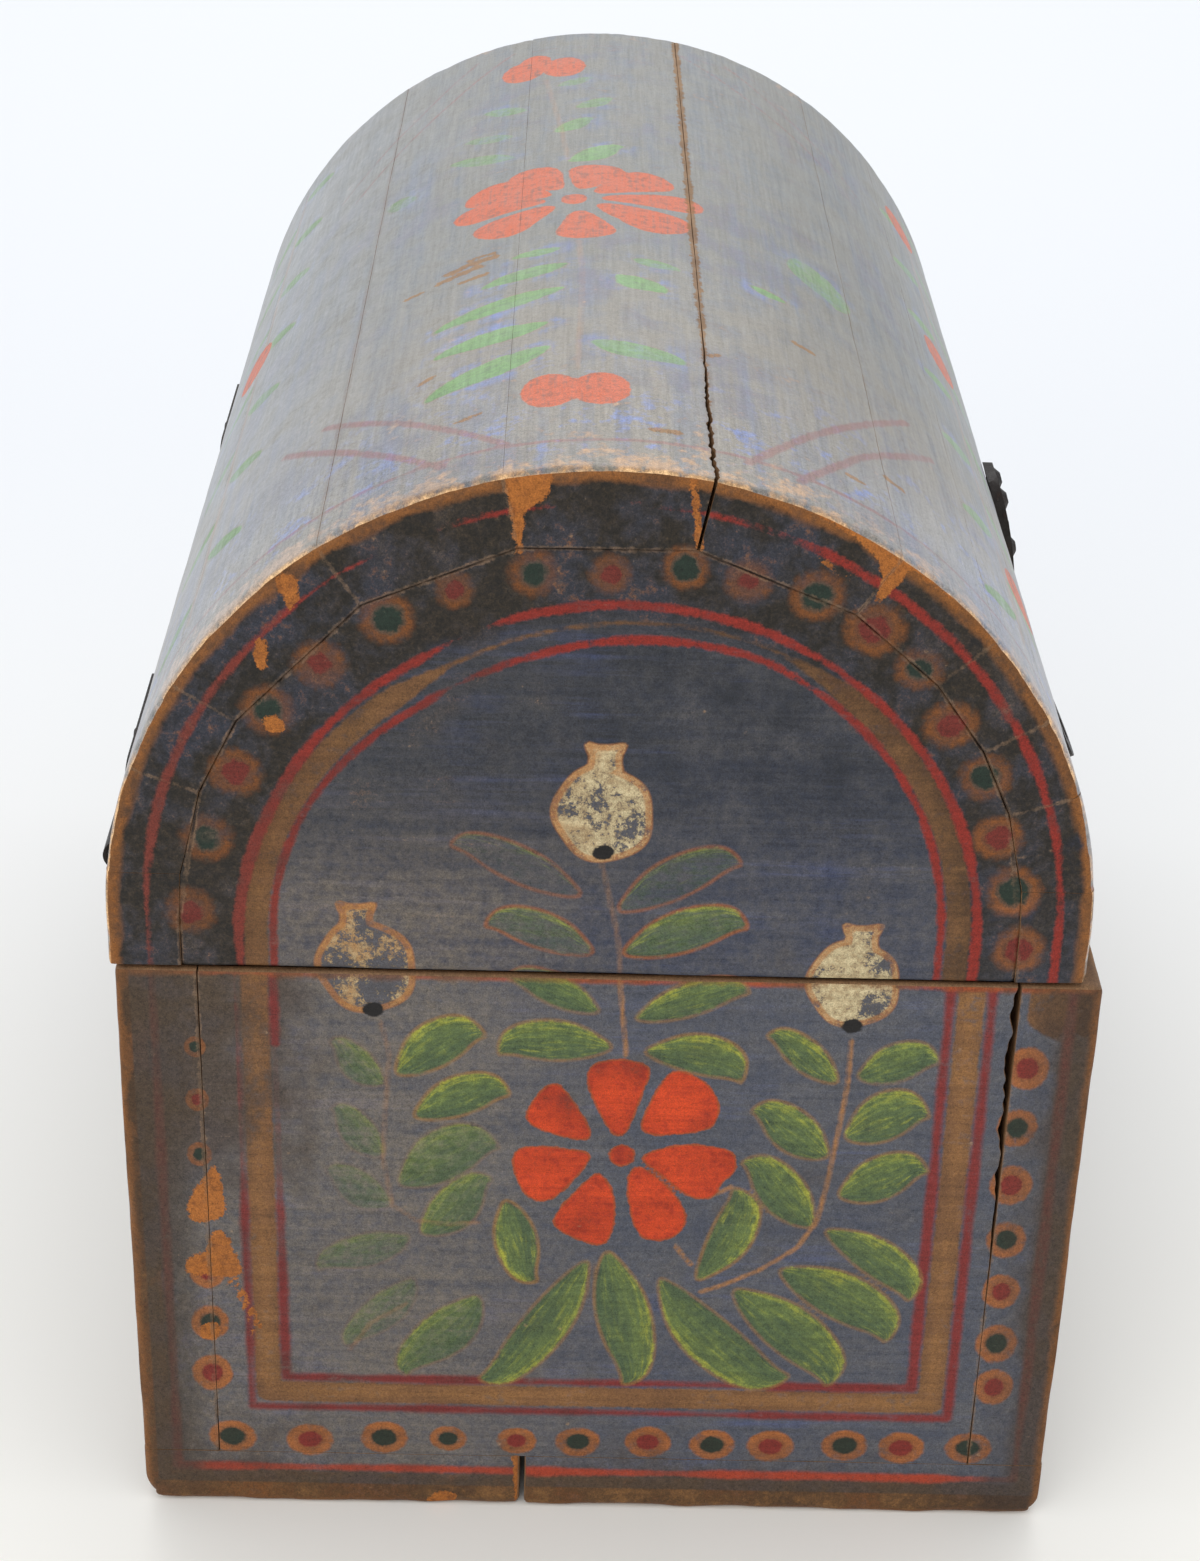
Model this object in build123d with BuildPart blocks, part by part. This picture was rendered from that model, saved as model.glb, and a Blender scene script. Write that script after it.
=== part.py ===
from build123d import *
from math import asin, cos, degrees, radians, sin
import os

# Dome-top storage box in millimetres: a box of six boards and a coopered lid, with iron leaf hinges
# and a hasp. The origin is the centre of the underside, +Z is up, +X runs along the length, -Y is
# the front with the hasp and +Y is the back with the hinges.

# Base boards
box_length = 203.0
box_depth = 130.0
base_height = 91.5
long_board_thickness = 11.0
end_board_thickness = 11.0
bottom_thickness = 9.5
bottom_seam_y = 10.4
bottom_seam_width = 0.7
corner_wear = 1.5
rim_wear = 0.7
foot_wear = 4.0
foot_end_wear = 1.0

# The left end board has drawn away from the front board near the top
end_seam_width = 1.0
end_seam_foot = 42.0

# Coopered lid: upright rails, then staves whose joints point at the dome's centre line.
# Angles are counted from the back, over the top, to the front.
parting_gap = 0.6
lid_shrink = 1.0
lid_shift = 1.5
side_height = 7.4
rail_height = 14.0
stave_thickness = 9.5
stave_joint_angles = (20.0, 32.0, 56.0, 78.0, 101.0, 123.5, 138.5, 150.5, 161.0)
open_joint_angle = 101.0
open_joint_width = 0.7
arch_panel_thickness = 11.0
arris_wear = 0.8

# Nails
nail_radius = 0.7
nail_clearance = 0.05
rose_head_radius = 1.9
rose_head_tip = 0.8
rose_head_height = 0.8
sunk_head_radius = 1.6
sunk_head_height = 0.8
sunk_head_clearance = 0.1
board_nail_length = 21.0
leaf_nail_length = 9.0
hasp_nail_length = 8.0
corner_nail_margin = 16.0
corner_nail_rows = 3
bottom_nail_margin = 30.0
bottom_nail_columns = 4

# Leaf hinges on the back
hinge_margin = 43.5
leaf_width = 30.0
leaf_drop = 24.0
leaf_rise_angle = 6.0
leaf_thickness = 1.4
leaf_corner = 3.0
leaf_seat = 0.05
hinge_barrel_radius = 2.4
hinge_pin_radius = 1.3
pin_clearance = 0.05
barrel_gap = 0.15
knuckle_gap = 0.3
pin_head_radius = 1.8
pin_head_height = 0.9
leaf_nail_spread = 20.0

# Hasp on the front
hasp_x = 0.0
hasp_plate_width = 14.0
hasp_plate_thickness = 1.5
hasp_plate_rise_angle = 20.5
hasp_plate_corner = 5.0
hasp_axis_rise = 2.9
hasp_barrel_radius = 2.0
hasp_pin_radius = 1.0
hasp_knuckle_width = 5.4
hasp_notch_rise = 1.3
hasp_nail_spread = 8.0
strap_width = 12.0
strap_thickness = 1.5
strap_reach = 25.4
strap_tilt = 25.5
slot_length = 12.4
slot_width = 5.0
staple_radius = 1.0
staple_bend = 4.0
staple_stand_off = 2.0
staple_drop = 16.7
staple_leg_depth = 10.0

# Worked out from the sizes above
front_face = -box_depth / 2
back_face = box_depth / 2
board_height = base_height - bottom_thickness
end_board_width = box_depth - 2 * long_board_thickness
end_board_x = (box_length - end_board_thickness) / 2
lid_bottom = base_height + parting_gap
dome_radius = box_depth / 2 - lid_shrink
inner_radius = dome_radius - stave_thickness
dome_y = lid_shift
dome_z = lid_bottom + side_height
rail_rise = rail_height - side_height
hasp_axis_height = lid_bottom + hasp_axis_rise
hinge_centre_x = box_length / 2 - hinge_margin
hole_radius = nail_radius + nail_clearance
left_end = Plane.YZ.offset(-box_length / 2)
end_grain_planes = {
    "left": left_end,
    "right": Plane.YZ.offset(box_length / 2 - arch_panel_thickness),
}

os.makedirs("parts", exist_ok=True)


def save(piece, name):
    """Label a finished piece and write it under its own name."""
    piece.label = name
    export_step(piece, f"parts/{name}.step")


def dome_point(radius, angle):
    """A point of the lid's end view, as (y, z), at an angle counted from the back."""
    turn = radians(angle)
    return dome_y + radius * cos(turn), dome_z + radius * sin(turn)


def dome_plane(x, radius, angle):
    """A plane that faces straight out of the dome."""
    y, z = dome_point(radius, angle)
    turn = radians(angle)
    return Plane(origin=(x, y, z), z_dir=(0, cos(turn), sin(turn)))


def drive_rose_nails(planes, length):
    """Add nails with low forged heads that stand on their planes."""
    with Locations(*planes):
        Cylinder(nail_radius, length, align=(Align.CENTER, Align.CENTER, Align.MAX))
        Cone(rose_head_radius, rose_head_tip, rose_head_height, align=(Align.CENTER, Align.CENTER, Align.MIN))


def drive_sunk_nails(planes, length):
    """Add nails whose flat heads lie just under the face of the wood."""
    heads = [plane.offset(-sunk_head_clearance) for plane in planes]
    with Locations(*heads):
        Cylinder(nail_radius, length, align=(Align.CENTER, Align.CENTER, Align.MAX))
        Cylinder(sunk_head_radius, sunk_head_height, align=(Align.CENTER, Align.CENTER, Align.MAX))


def bore_nail_holes(planes, length):
    """Cut plain holes for nails that are driven from the given planes."""
    with Locations(*planes):
        Hole(hole_radius, length + 2 * sunk_head_clearance)


def bore_sunk_holes(planes, length):
    """Cut holes with a shallow seat for a sunk nail head."""
    with Locations(*planes):
        CounterBoreHole(
            radius=hole_radius,
            counter_bore_radius=sunk_head_radius + sunk_head_clearance,
            counter_bore_depth=sunk_head_height + 2 * sunk_head_clearance,
            depth=length + 2 * sunk_head_clearance,
        )


def bent_plate_outline(side, foot_z, rise_angle, thickness):
    """Draw the edge view of a plate that follows the lid's upright side and then the dome."""
    inner = dome_radius + leaf_seat
    outer = inner + thickness
    start = 0 if side > 0 else 180
    middle = start + side * rise_angle / 2
    end = start + side * rise_angle
    inside = ThreePointArc(dome_point(inner, start), dome_point(inner, middle), dome_point(inner, end))
    outside = ThreePointArc(dome_point(outer, start), dome_point(outer, middle), dome_point(outer, end))
    Line(inside @ 1, outside @ 1)
    Polyline(
        inside @ 0,
        (dome_y + side * inner, foot_z),
        (dome_y + side * outer, foot_z),
        outside @ 0,
    )


def round_plate_top(x, width, rise_angle, thickness, corner):
    """Round the two upper corners of a bent plate, as seen from straight in front of it."""
    top_z = dome_point(dome_radius + leaf_seat + thickness, rise_angle)[1]
    with BuildSketch(Plane.XZ) as front_view:
        with Locations((x, top_z)):
            RectangleRounded(width, top_z, corner, align=(Align.CENTER, Align.MAX))
    extrude(front_view.sketch, amount=box_depth, both=True, mode=Mode.INTERSECT)


# Nail places, shared by the nails and by every piece that they pass through
corner_nail_heights = [
    bottom_thickness + corner_nail_margin + row * (board_height - 2 * corner_nail_margin) / (corner_nail_rows - 1)
    for row in range(corner_nail_rows)
]
corner_nails_by_side = {
    side: [
        Plane(origin=(end * end_board_x, side * box_depth / 2, height), z_dir=(0, side, 0))
        for end in (-1, 1)
        for height in corner_nail_heights
    ]
    for side in (-1, 1)
}
bottom_nail_step = (box_length - 2 * bottom_nail_margin) / (bottom_nail_columns - 1)
bottom_nails_by_side = {
    side: [
        Plane(
            origin=(
                -box_length / 2 + bottom_nail_margin + column * bottom_nail_step,
                side * (box_depth - long_board_thickness) / 2,
                0,
            ),
            z_dir=(0, 0, -1),
        )
        for column in range(bottom_nail_columns)
    ]
    for side in (-1, 1)
}

# Bottom: two planks under the walls, with an open seam between them
for name, side, seam_edge in (
    ("bottom_plank_front", -1, bottom_seam_y - bottom_seam_width / 2),
    ("bottom_plank_back", 1, bottom_seam_y + bottom_seam_width / 2),
):
    with BuildPart() as plank:
        with BuildSketch():
            with Locations((0, (side * box_depth / 2 + seam_edge) / 2)):
                Rectangle(box_length, abs(side * box_depth / 2 - seam_edge))
        extrude(amount=bottom_thickness)
        underside = plank.faces().sort_by(Axis.Z)[0]
        foot_edge = underside.edges().filter_by(Axis.X).sort_by(Axis.Y)[-1 if side > 0 else 0]
        fillet(foot_edge, radius=foot_wear)
        underside = plank.faces().filter_by(Axis.Z).sort_by(Axis.Z)[0]
        chamfer(underside.edges().filter_by(Axis.Y), length=foot_end_wear)
        bore_sunk_holes(bottom_nails_by_side[side], board_nail_length)
    save(plank.part, name)

# Front and back boards, the whole length of the box
staple_height = hasp_axis_height - staple_drop
staple_legs = [
    Plane(origin=(hasp_x, front_face, staple_height + rise), z_dir=(0, -1, 0))
    for rise in (staple_bend, -staple_bend)
]
base_leaf_nail_planes = [
    Plane(origin=(end * hinge_centre_x + x, back_face + leaf_thickness, base_height - drop), z_dir=(0, 1, 0))
    for end in (-1, 1)
    for x, drop in (
        (-leaf_nail_spread / 2, leaf_drop / 3),
        (leaf_nail_spread / 2, leaf_drop / 3),
        (0, leaf_drop * 3 / 4),
    )
]
for name, side in (("front_board", -1), ("back_board", 1)):
    with BuildPart() as board:
        with BuildSketch(Plane.XY.offset(bottom_thickness)):
            with Locations((0, side * (box_depth - long_board_thickness) / 2)):
                Rectangle(box_length, long_board_thickness)
        extrude(amount=board_height)
        outer_corners = board.edges().filter_by(Axis.Z).group_by(Axis.Y)[-1 if side > 0 else 0]
        fillet(outer_corners, radius=corner_wear)
        rim = board.faces().sort_by(Axis.Z)[-1].edges().filter_by(Axis.X)
        chamfer(rim.sort_by(Axis.Y)[-1 if side > 0 else 0], length=rim_wear)
        bore_sunk_holes(corner_nails_by_side[side], board_nail_length)
        bore_nail_holes(bottom_nails_by_side[side], board_nail_length)
        if side > 0:
            bore_nail_holes(base_leaf_nail_planes, leaf_nail_length)
        else:
            with Locations(*staple_legs):
                Hole(staple_radius + nail_clearance, staple_leg_depth + sunk_head_clearance)
    save(board.part, name)

# End boards between the long boards; the left one leaves an open, tapering seam at the front
half_width = end_board_width / 2
for name, end, seam in (("left_end_board", -1, end_seam_width), ("right_end_board", 1, 0)):
    with BuildPart() as end_board:
        with BuildSketch(Plane.YZ.offset(end * end_board_x - end_board_thickness / 2)):
            with BuildLine():
                Polyline(
                    (half_width, bottom_thickness),
                    (half_width, base_height),
                    (seam - half_width, base_height),
                    (-half_width, end_seam_foot),
                    (-half_width, bottom_thickness),
                    close=True,
                )
            make_face()
        extrude(amount=end_board_thickness)
        for side in (-1, 1):
            bore_nail_holes(corner_nails_by_side[side], board_nail_length)
    save(end_board.part, name)

with BuildPart() as corner_nails:
    for side in (-1, 1):
        drive_sunk_nails(corner_nails_by_side[side], board_nail_length)
save(corner_nails.part, "corner_nails")

with BuildPart() as bottom_nails:
    for side in (-1, 1):
        drive_sunk_nails(bottom_nails_by_side[side], board_nail_length)
save(bottom_nails.part, "bottom_nails")

# Nails through the metal plates on the lid
lid_leaf_nail_planes = [
    dome_plane(end * hinge_centre_x + x, dome_radius + leaf_seat + leaf_thickness, angle)
    for end in (-1, 1)
    for x, angle in (
        (-leaf_nail_spread / 2, leaf_rise_angle / 6),
        (leaf_nail_spread / 2, leaf_rise_angle / 6),
        (0, leaf_rise_angle / 2),
    )
]
hasp_nail_planes = [
    dome_plane(hasp_x + x, dome_radius + leaf_seat + hasp_plate_thickness, 180 - angle)
    for x in (-hasp_nail_spread / 2, hasp_nail_spread / 2)
    for angle in (hasp_plate_rise_angle / 2, hasp_plate_rise_angle * 6 / 7)
]
lid_nail_holes = (
    (lid_leaf_nail_planes, leaf_nail_length),
    (hasp_nail_planes, hasp_nail_length),
)

# Joints around the lid, each as the angle of its outer edge and of its inner edge.
# The joint on top of each rail is level, so its two edges stand at different angles.
rail_outer_angle = degrees(asin(rail_rise / dome_radius))
rail_inner_angle = degrees(asin(rail_rise / inner_radius))
half_open = degrees(open_joint_width / 2 / dome_radius)
joint_ends = [(rail_outer_angle, rail_inner_angle)]
joint_starts = [(rail_outer_angle, rail_inner_angle)]
for angle in stave_joint_angles:
    spread = half_open if angle == open_joint_angle else 0
    joint_ends.append((angle - spread, angle - spread))
    joint_starts.append((angle + spread, angle + spread))
joint_ends.append((180 - rail_outer_angle, 180 - rail_inner_angle))
joint_starts.append((180 - rail_outer_angle, 180 - rail_inner_angle))

# Staves: round outside, flat inside, bevelled to each other
for number, (start, end) in enumerate(zip(joint_starts[:-1], joint_ends[1:]), start=1):
    with BuildPart() as stave:
        with BuildSketch(left_end):
            with BuildLine():
                rim = ThreePointArc(
                    dome_point(dome_radius, start[0]),
                    dome_point(dome_radius, (start[0] + end[0]) / 2),
                    dome_point(dome_radius, end[0]),
                )
                Polyline(rim @ 1, dome_point(inner_radius, end[1]), dome_point(inner_radius, start[1]), rim @ 0)
            make_face()
        extrude(amount=box_length)
        chamfer(stave.edges().filter_by(GeomType.CIRCLE), length=arris_wear)
        for planes, length in lid_nail_holes:
            bore_nail_holes(planes, length)
    save(stave.part, f"lid_stave_{number:02d}")

# Rails: the upright foot of the lid at the back and the front
for name, side in (("lid_back_rail", 1), ("lid_front_rail", -1)):
    foot = 0 if side > 0 else 180
    with BuildPart() as rail:
        with BuildSketch(left_end):
            with BuildLine():
                rim = ThreePointArc(
                    dome_point(dome_radius, foot),
                    dome_point(dome_radius, foot + side * rail_outer_angle / 2),
                    dome_point(dome_radius, foot + side * rail_outer_angle),
                )
                Polyline(
                    rim @ 1,
                    dome_point(inner_radius, foot + side * rail_inner_angle),
                    dome_point(inner_radius, foot),
                    (dome_y + side * inner_radius, lid_bottom),
                    (dome_y + side * dome_radius, lid_bottom),
                    rim @ 0,
                )
            make_face()
        extrude(amount=box_length)
        foot_edge = rail.faces().sort_by(Axis.Z)[0].edges().filter_by(Axis.X)
        chamfer(foot_edge.sort_by(Axis.Y)[-1 if side > 0 else 0], length=rim_wear)
        for planes, length in lid_nail_holes:
            bore_nail_holes(planes, length)
    save(rail.part, name)

# Arched end panels inside the ring of staves
arch_points = [(dome_y + inner_radius, lid_bottom), dome_point(inner_radius, 0)]
for before, after in zip(joint_ends, joint_starts):
    arch_points.append(dome_point(inner_radius, before[1]))
    if after != before:
        arch_points.append(dome_point(inner_radius, after[1]))
arch_points.append(dome_point(inner_radius, 180))
arch_points.append((dome_y - inner_radius, lid_bottom))
for end_name, plane in end_grain_planes.items():
    with BuildPart() as arch_panel:
        with BuildSketch(plane):
            with BuildLine():
                Polyline(*arch_points, close=True)
            make_face()
        extrude(amount=arch_panel_thickness)
    save(arch_panel.part, f"{end_name}_arch_panel")

# Leaf hinges: the base leaf has the two outer knuckles, the lid leaf the middle one
hinge_axis_y = dome_y + dome_radius + hinge_barrel_radius + barrel_gap
hinge_axis_z = (base_height + lid_bottom) / 2
knuckle_width = leaf_width / 3
hinge_bore = hinge_pin_radius + pin_clearance
notch_radius = hinge_barrel_radius + knuckle_gap
for end_name, end in (("left", -1), ("right", 1)):
    hinge_x = end * hinge_centre_x
    leaf_start = Plane.YZ.offset(hinge_x - leaf_width / 2)
    middle_start = Plane.YZ.offset(hinge_x - knuckle_width / 2)

    with BuildPart() as base_leaf:
        with BuildSketch(Plane(origin=(hinge_x, back_face, 0), x_dir=(-1, 0, 0), z_dir=(0, 1, 0))):
            with Locations((0, hinge_axis_z)):
                Rectangle(leaf_width, leaf_drop, align=(Align.CENTER, Align.MAX))
        extrude(amount=leaf_thickness)
        fillet(base_leaf.edges().filter_by(Axis.Y).group_by(Axis.Z)[0], radius=leaf_corner)
        with BuildSketch(leaf_start):
            with Locations((hinge_axis_y, hinge_axis_z)):
                Circle(hinge_barrel_radius)
        extrude(amount=leaf_width)
        with BuildSketch(middle_start.offset(-knuckle_gap)):
            with Locations((hinge_axis_y, hinge_axis_z)):
                Rectangle(4 * notch_radius, 2 * notch_radius)
        extrude(amount=knuckle_width + 2 * knuckle_gap, mode=Mode.SUBTRACT)
        with BuildSketch(leaf_start):
            with Locations((hinge_axis_y, hinge_axis_z)):
                Circle(hinge_bore)
        extrude(amount=leaf_width, mode=Mode.SUBTRACT)
        bore_nail_holes(base_leaf_nail_planes, leaf_nail_length)
    save(base_leaf.part, f"base_leaf_{end_name}")

    with BuildPart() as lid_leaf:
        with BuildSketch(leaf_start):
            with BuildLine():
                bent_plate_outline(1, hinge_axis_z, leaf_rise_angle, leaf_thickness)
            make_face()
        extrude(amount=leaf_width)
        round_plate_top(hinge_x, leaf_width, leaf_rise_angle, leaf_thickness, leaf_corner)
        for side in (-1, 1):
            with BuildSketch(Plane.YZ.offset(hinge_x + side * knuckle_width - knuckle_width / 2 - knuckle_gap)):
                with Locations((hinge_axis_y, hinge_axis_z)):
                    Rectangle(4 * notch_radius, 2 * notch_radius)
            extrude(amount=knuckle_width + 2 * knuckle_gap, mode=Mode.SUBTRACT)
        with BuildSketch(middle_start.offset(knuckle_gap / 2)):
            with Locations((hinge_axis_y, hinge_axis_z)):
                Circle(hinge_barrel_radius)
        extrude(amount=knuckle_width - knuckle_gap)
        with BuildSketch(leaf_start):
            with Locations((hinge_axis_y, hinge_axis_z)):
                Circle(hinge_bore)
        extrude(amount=leaf_width, mode=Mode.SUBTRACT)
        bore_nail_holes(lid_leaf_nail_planes, leaf_nail_length)
    save(lid_leaf.part, f"lid_leaf_{end_name}")

    with BuildPart() as hinge_pin:
        with Locations(Plane(origin=(hinge_x, hinge_axis_y, hinge_axis_z), z_dir=(1, 0, 0))):
            Cylinder(hinge_pin_radius, leaf_width)
            with Locations((0, 0, leaf_width / 2), (0, 0, -leaf_width / 2 - pin_head_height)):
                Cylinder(pin_head_radius, pin_head_height, align=(Align.CENTER, Align.CENTER, Align.MIN))
    save(hinge_pin.part, f"hinge_pin_{end_name}")

with BuildPart() as base_leaf_nails:
    drive_rose_nails(base_leaf_nail_planes, leaf_nail_length)
save(base_leaf_nails.part, "base_leaf_nails")

with BuildPart() as lid_leaf_nails:
    drive_rose_nails(lid_leaf_nail_planes, leaf_nail_length)
save(lid_leaf_nails.part, "lid_leaf_nails")

# Hasp plate: bent over the lid's front, with two knuckles at its foot
hasp_axis_y = dome_y - dome_radius - hasp_barrel_radius - barrel_gap
hasp_bore = hasp_pin_radius + pin_clearance
hasp_notch = hasp_barrel_radius + knuckle_gap
hasp_start = Plane.YZ.offset(hasp_x - hasp_plate_width / 2)
hasp_notch_start = Plane.YZ.offset(hasp_x - hasp_knuckle_width / 2 - knuckle_gap)
with BuildPart() as hasp_plate:
    with BuildSketch(hasp_start):
        with BuildLine():
            bent_plate_outline(-1, hasp_axis_height, hasp_plate_rise_angle, hasp_plate_thickness)
        make_face()
    extrude(amount=hasp_plate_width)
    round_plate_top(hasp_x, hasp_plate_width, hasp_plate_rise_angle, hasp_plate_thickness, hasp_plate_corner)
    with BuildSketch(hasp_start):
        with Locations((hasp_axis_y, hasp_axis_height)):
            Circle(hasp_barrel_radius)
    extrude(amount=hasp_plate_width)
    with BuildSketch(hasp_notch_start):
        with Locations((hasp_axis_y, hasp_axis_height - hasp_notch)):
            Rectangle(4 * hasp_notch, 2 * hasp_notch + hasp_notch_rise, align=(Align.CENTER, Align.MIN))
    extrude(amount=hasp_knuckle_width + 2 * knuckle_gap, mode=Mode.SUBTRACT)
    with BuildSketch(hasp_start):
        with Locations((hasp_axis_y, hasp_axis_height)):
            Circle(hasp_bore)
    extrude(amount=hasp_plate_width, mode=Mode.SUBTRACT)
    bore_nail_holes(hasp_nail_planes, hasp_nail_length)
save(hasp_plate.part, "hasp_plate")

with BuildPart() as hasp_plate_nails:
    drive_rose_nails(hasp_nail_planes, hasp_nail_length)
save(hasp_plate_nails.part, "hasp_plate_nails")

with BuildPart() as hasp_pin:
    with BuildSketch(hasp_start):
        with Locations((hasp_axis_y, hasp_axis_height)):
            Circle(hasp_pin_radius)
    extrude(amount=hasp_plate_width)
save(hasp_pin.part, "hasp_pin")

# Hasp strap: hangs from the pin, swung out just far enough to pass the staple
tilt = radians(strap_tilt)
strap_plane = Plane(
    origin=(hasp_x, hasp_axis_y, hasp_axis_height),
    x_dir=(1, 0, 0),
    z_dir=(0, -cos(tilt), sin(tilt)),
)
strap_knuckle = Plane(origin=(hasp_x - hasp_knuckle_width / 2, hasp_axis_y, hasp_axis_height), z_dir=(1, 0, 0))
with BuildPart() as hasp_strap:
    with BuildSketch(strap_plane.offset(hasp_barrel_radius - strap_thickness)):
        Rectangle(hasp_knuckle_width, strap_reach / 2, align=(Align.CENTER, Align.MAX))
        with Locations((0, -hasp_notch)):
            Rectangle(strap_width, strap_reach - hasp_notch - strap_width / 2, align=(Align.CENTER, Align.MAX))
        with Locations((0, strap_width / 2 - strap_reach)):
            Circle(strap_width / 2)
    extrude(amount=strap_thickness)
    with BuildSketch(strap_knuckle):
        Circle(hasp_barrel_radius)
    extrude(amount=hasp_knuckle_width)
    with BuildSketch(strap_plane):
        with Locations((0, -staple_drop)):
            SlotOverall(slot_length, slot_width, rotation=90)
    extrude(amount=2 * hasp_barrel_radius, mode=Mode.SUBTRACT)
    with BuildSketch(strap_knuckle):
        Circle(hasp_bore)
    extrude(amount=hasp_knuckle_width, mode=Mode.SUBTRACT)
save(hasp_strap.part, "hasp_strap")

# Staple: round wire bent to a loop, its legs driven into the front board
bend_y = front_face - staple_stand_off
leg_end_y = front_face + staple_leg_depth
with BuildPart() as hasp_staple:
    with BuildLine(Plane.YZ.offset(hasp_x)) as wire:
        Line((leg_end_y, staple_height + staple_bend), (bend_y, staple_height + staple_bend))
        ThreePointArc(
            (bend_y, staple_height + staple_bend),
            (bend_y - staple_bend, staple_height),
            (bend_y, staple_height - staple_bend),
        )
        Line((bend_y, staple_height - staple_bend), (leg_end_y, staple_height - staple_bend))
    with BuildSketch(Plane(origin=(hasp_x, leg_end_y, staple_height + staple_bend), z_dir=(0, -1, 0))):
        Circle(staple_radius)
    sweep(path=wire.line)
save(hasp_staple.part, "hasp_staple")
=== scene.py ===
"""A dome-top storage box of painted wood, with leaf hinges and a hasp, dressed for the camera.

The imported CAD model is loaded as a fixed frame. Every wooden node is stood for by a worn board or
stave whose decoration is measured into attributes, in millimetres, and painted by one material that
reads them. The iron nodes stay and get a forged finish.
"""

import logging
import math
from dataclasses import dataclass, field
from enum import Enum
from typing import Callable

import bpy
import numpy as np
from bpy.types import Material, Mesh, NodeSocket, NodeTree, Object
from mathutils import Matrix, Vector


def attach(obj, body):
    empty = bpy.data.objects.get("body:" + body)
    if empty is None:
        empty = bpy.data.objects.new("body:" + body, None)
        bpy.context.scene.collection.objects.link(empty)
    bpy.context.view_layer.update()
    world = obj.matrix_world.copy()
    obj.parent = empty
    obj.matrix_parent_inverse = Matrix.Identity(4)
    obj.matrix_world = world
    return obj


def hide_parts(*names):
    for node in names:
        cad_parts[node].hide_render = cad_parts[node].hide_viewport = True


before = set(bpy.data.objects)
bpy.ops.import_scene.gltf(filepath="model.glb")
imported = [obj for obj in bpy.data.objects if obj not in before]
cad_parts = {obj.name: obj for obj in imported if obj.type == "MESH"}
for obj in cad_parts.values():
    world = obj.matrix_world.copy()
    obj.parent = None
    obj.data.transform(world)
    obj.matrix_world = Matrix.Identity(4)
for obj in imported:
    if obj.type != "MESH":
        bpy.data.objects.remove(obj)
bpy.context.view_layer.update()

LOG = logging.getLogger("dome_top_box")
Array = np.ndarray
Pair = tuple[float, float]
Triple = tuple[float, float, float]
MM = 0.001
FAR = -3.0  # the depth of a place far outside every motif
DOT_REACH = 9.0  # how far from a dot it is still measured
CRISP = math.radians(42)
ABOVE_RIM = 95.0  # where the border lines of the base end, out of sight above its rim
ARC_SPRING = 98.5  # where the arcs of the lid's border begin
CUT_HEAD = (1.55, 1.3, 0.12)  # radius, tip radius and height of a sunk nail head
FORGED_HEAD = (1.85, 0.8, 0.72)  # the same of a raised nail head
NOISE_GAIN = 3.2  # brings a noise's swing to about one
EDGE_ROWS = 7  # the extra rows of a stave's lattice close to its edges


# ---- sizes


@dataclass(frozen=True)
class Carcase:
    """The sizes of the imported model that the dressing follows, in millimetres."""

    length: float = 203.0
    depth: float = 130.0
    base_top: float = 91.5
    lid_bottom: float = 92.1
    board: float = 11.0
    bottom: float = 9.5
    seam_y: float = 10.4
    seam: float = 0.7
    end_seam: float = 1.0
    end_seam_foot: float = 42.0
    dome_y: float = 1.5
    dome_z: float = 99.5
    dome_radius: float = 64.0
    inner_radius: float = 54.5
    rail_top: float = 106.1
    rail_outer_angle: float = 5.92
    rail_inner_angle: float = 6.96
    joints: tuple[float, ...] = (20.0, 32.0, 56.0, 78.0, 101.0, 123.5, 138.5, 150.5, 161.0)
    open_joint: float = 101.0
    open_width: float = 0.7
    corner_nail_x: float = 96.0
    corner_nail_heights: Triple = (25.5, 50.5, 75.5)

    @property
    def half_length(self) -> float:
        """Half the length of the box."""
        return self.length / 2

    @property
    def half_depth(self) -> float:
        """Half the depth of the base."""
        return self.depth / 2

    @property
    def half_girth(self) -> float:
        """Distance round the outside of the lid from its ridge to its foot."""
        return math.pi / 2 * self.dome_radius + self.dome_z - self.lid_bottom

    def board_faces(self, half: float, side: int) -> list[float]:
        """Where an outer board begins and ends, measured from the middle of the box."""
        return sorted((side * half, side * (half - self.board)))

    def dome_point(self, radius: float, angle: float) -> Pair:
        """A point of the lid's end view, at an angle counted from the back over the top."""
        turn = math.radians(angle)
        return self.dome_y + radius * math.cos(turn), self.dome_z + radius * math.sin(turn)

    def girth(self, y: Array, z: Array) -> Array:
        """Distance round the outside of the lid from its ridge, positive towards the front.

        Args:
            y: Places across the box.
            z: Heights.

        Returns:
            The distances.
        """
        turn = np.arctan2(np.maximum(z - self.dome_z, 0), y - self.dome_y)
        round_part = (turn - math.pi / 2) * self.dome_radius
        drop = np.maximum(self.dome_z - z, 0)
        return round_part + np.sign(round_part) * drop


BOX = Carcase()


class Tint(Enum):
    """The colour of a border dot's eye."""

    RED = 0.0
    GREEN = 1.0


class Side(Enum):
    """The sides of a block, in the order in which its lattice makes them."""

    LEFT = 0
    RIGHT = 1
    FRONT = 2
    BACK = 3
    UNDER = 4
    TOP = 5


class Look(Enum):
    """What a side of a wooden piece shows."""

    LEFT_END = "left_end"
    RIGHT_END = "right_end"
    DOME = "dome"
    FRONT = "front"
    BACK = "back"
    RAW = "raw"
    RIM = "rim"


ENDS = {Side.LEFT: Look.LEFT_END, Side.RIGHT: Look.RIGHT_END}


# ---- seeded noise and plane measures


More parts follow.
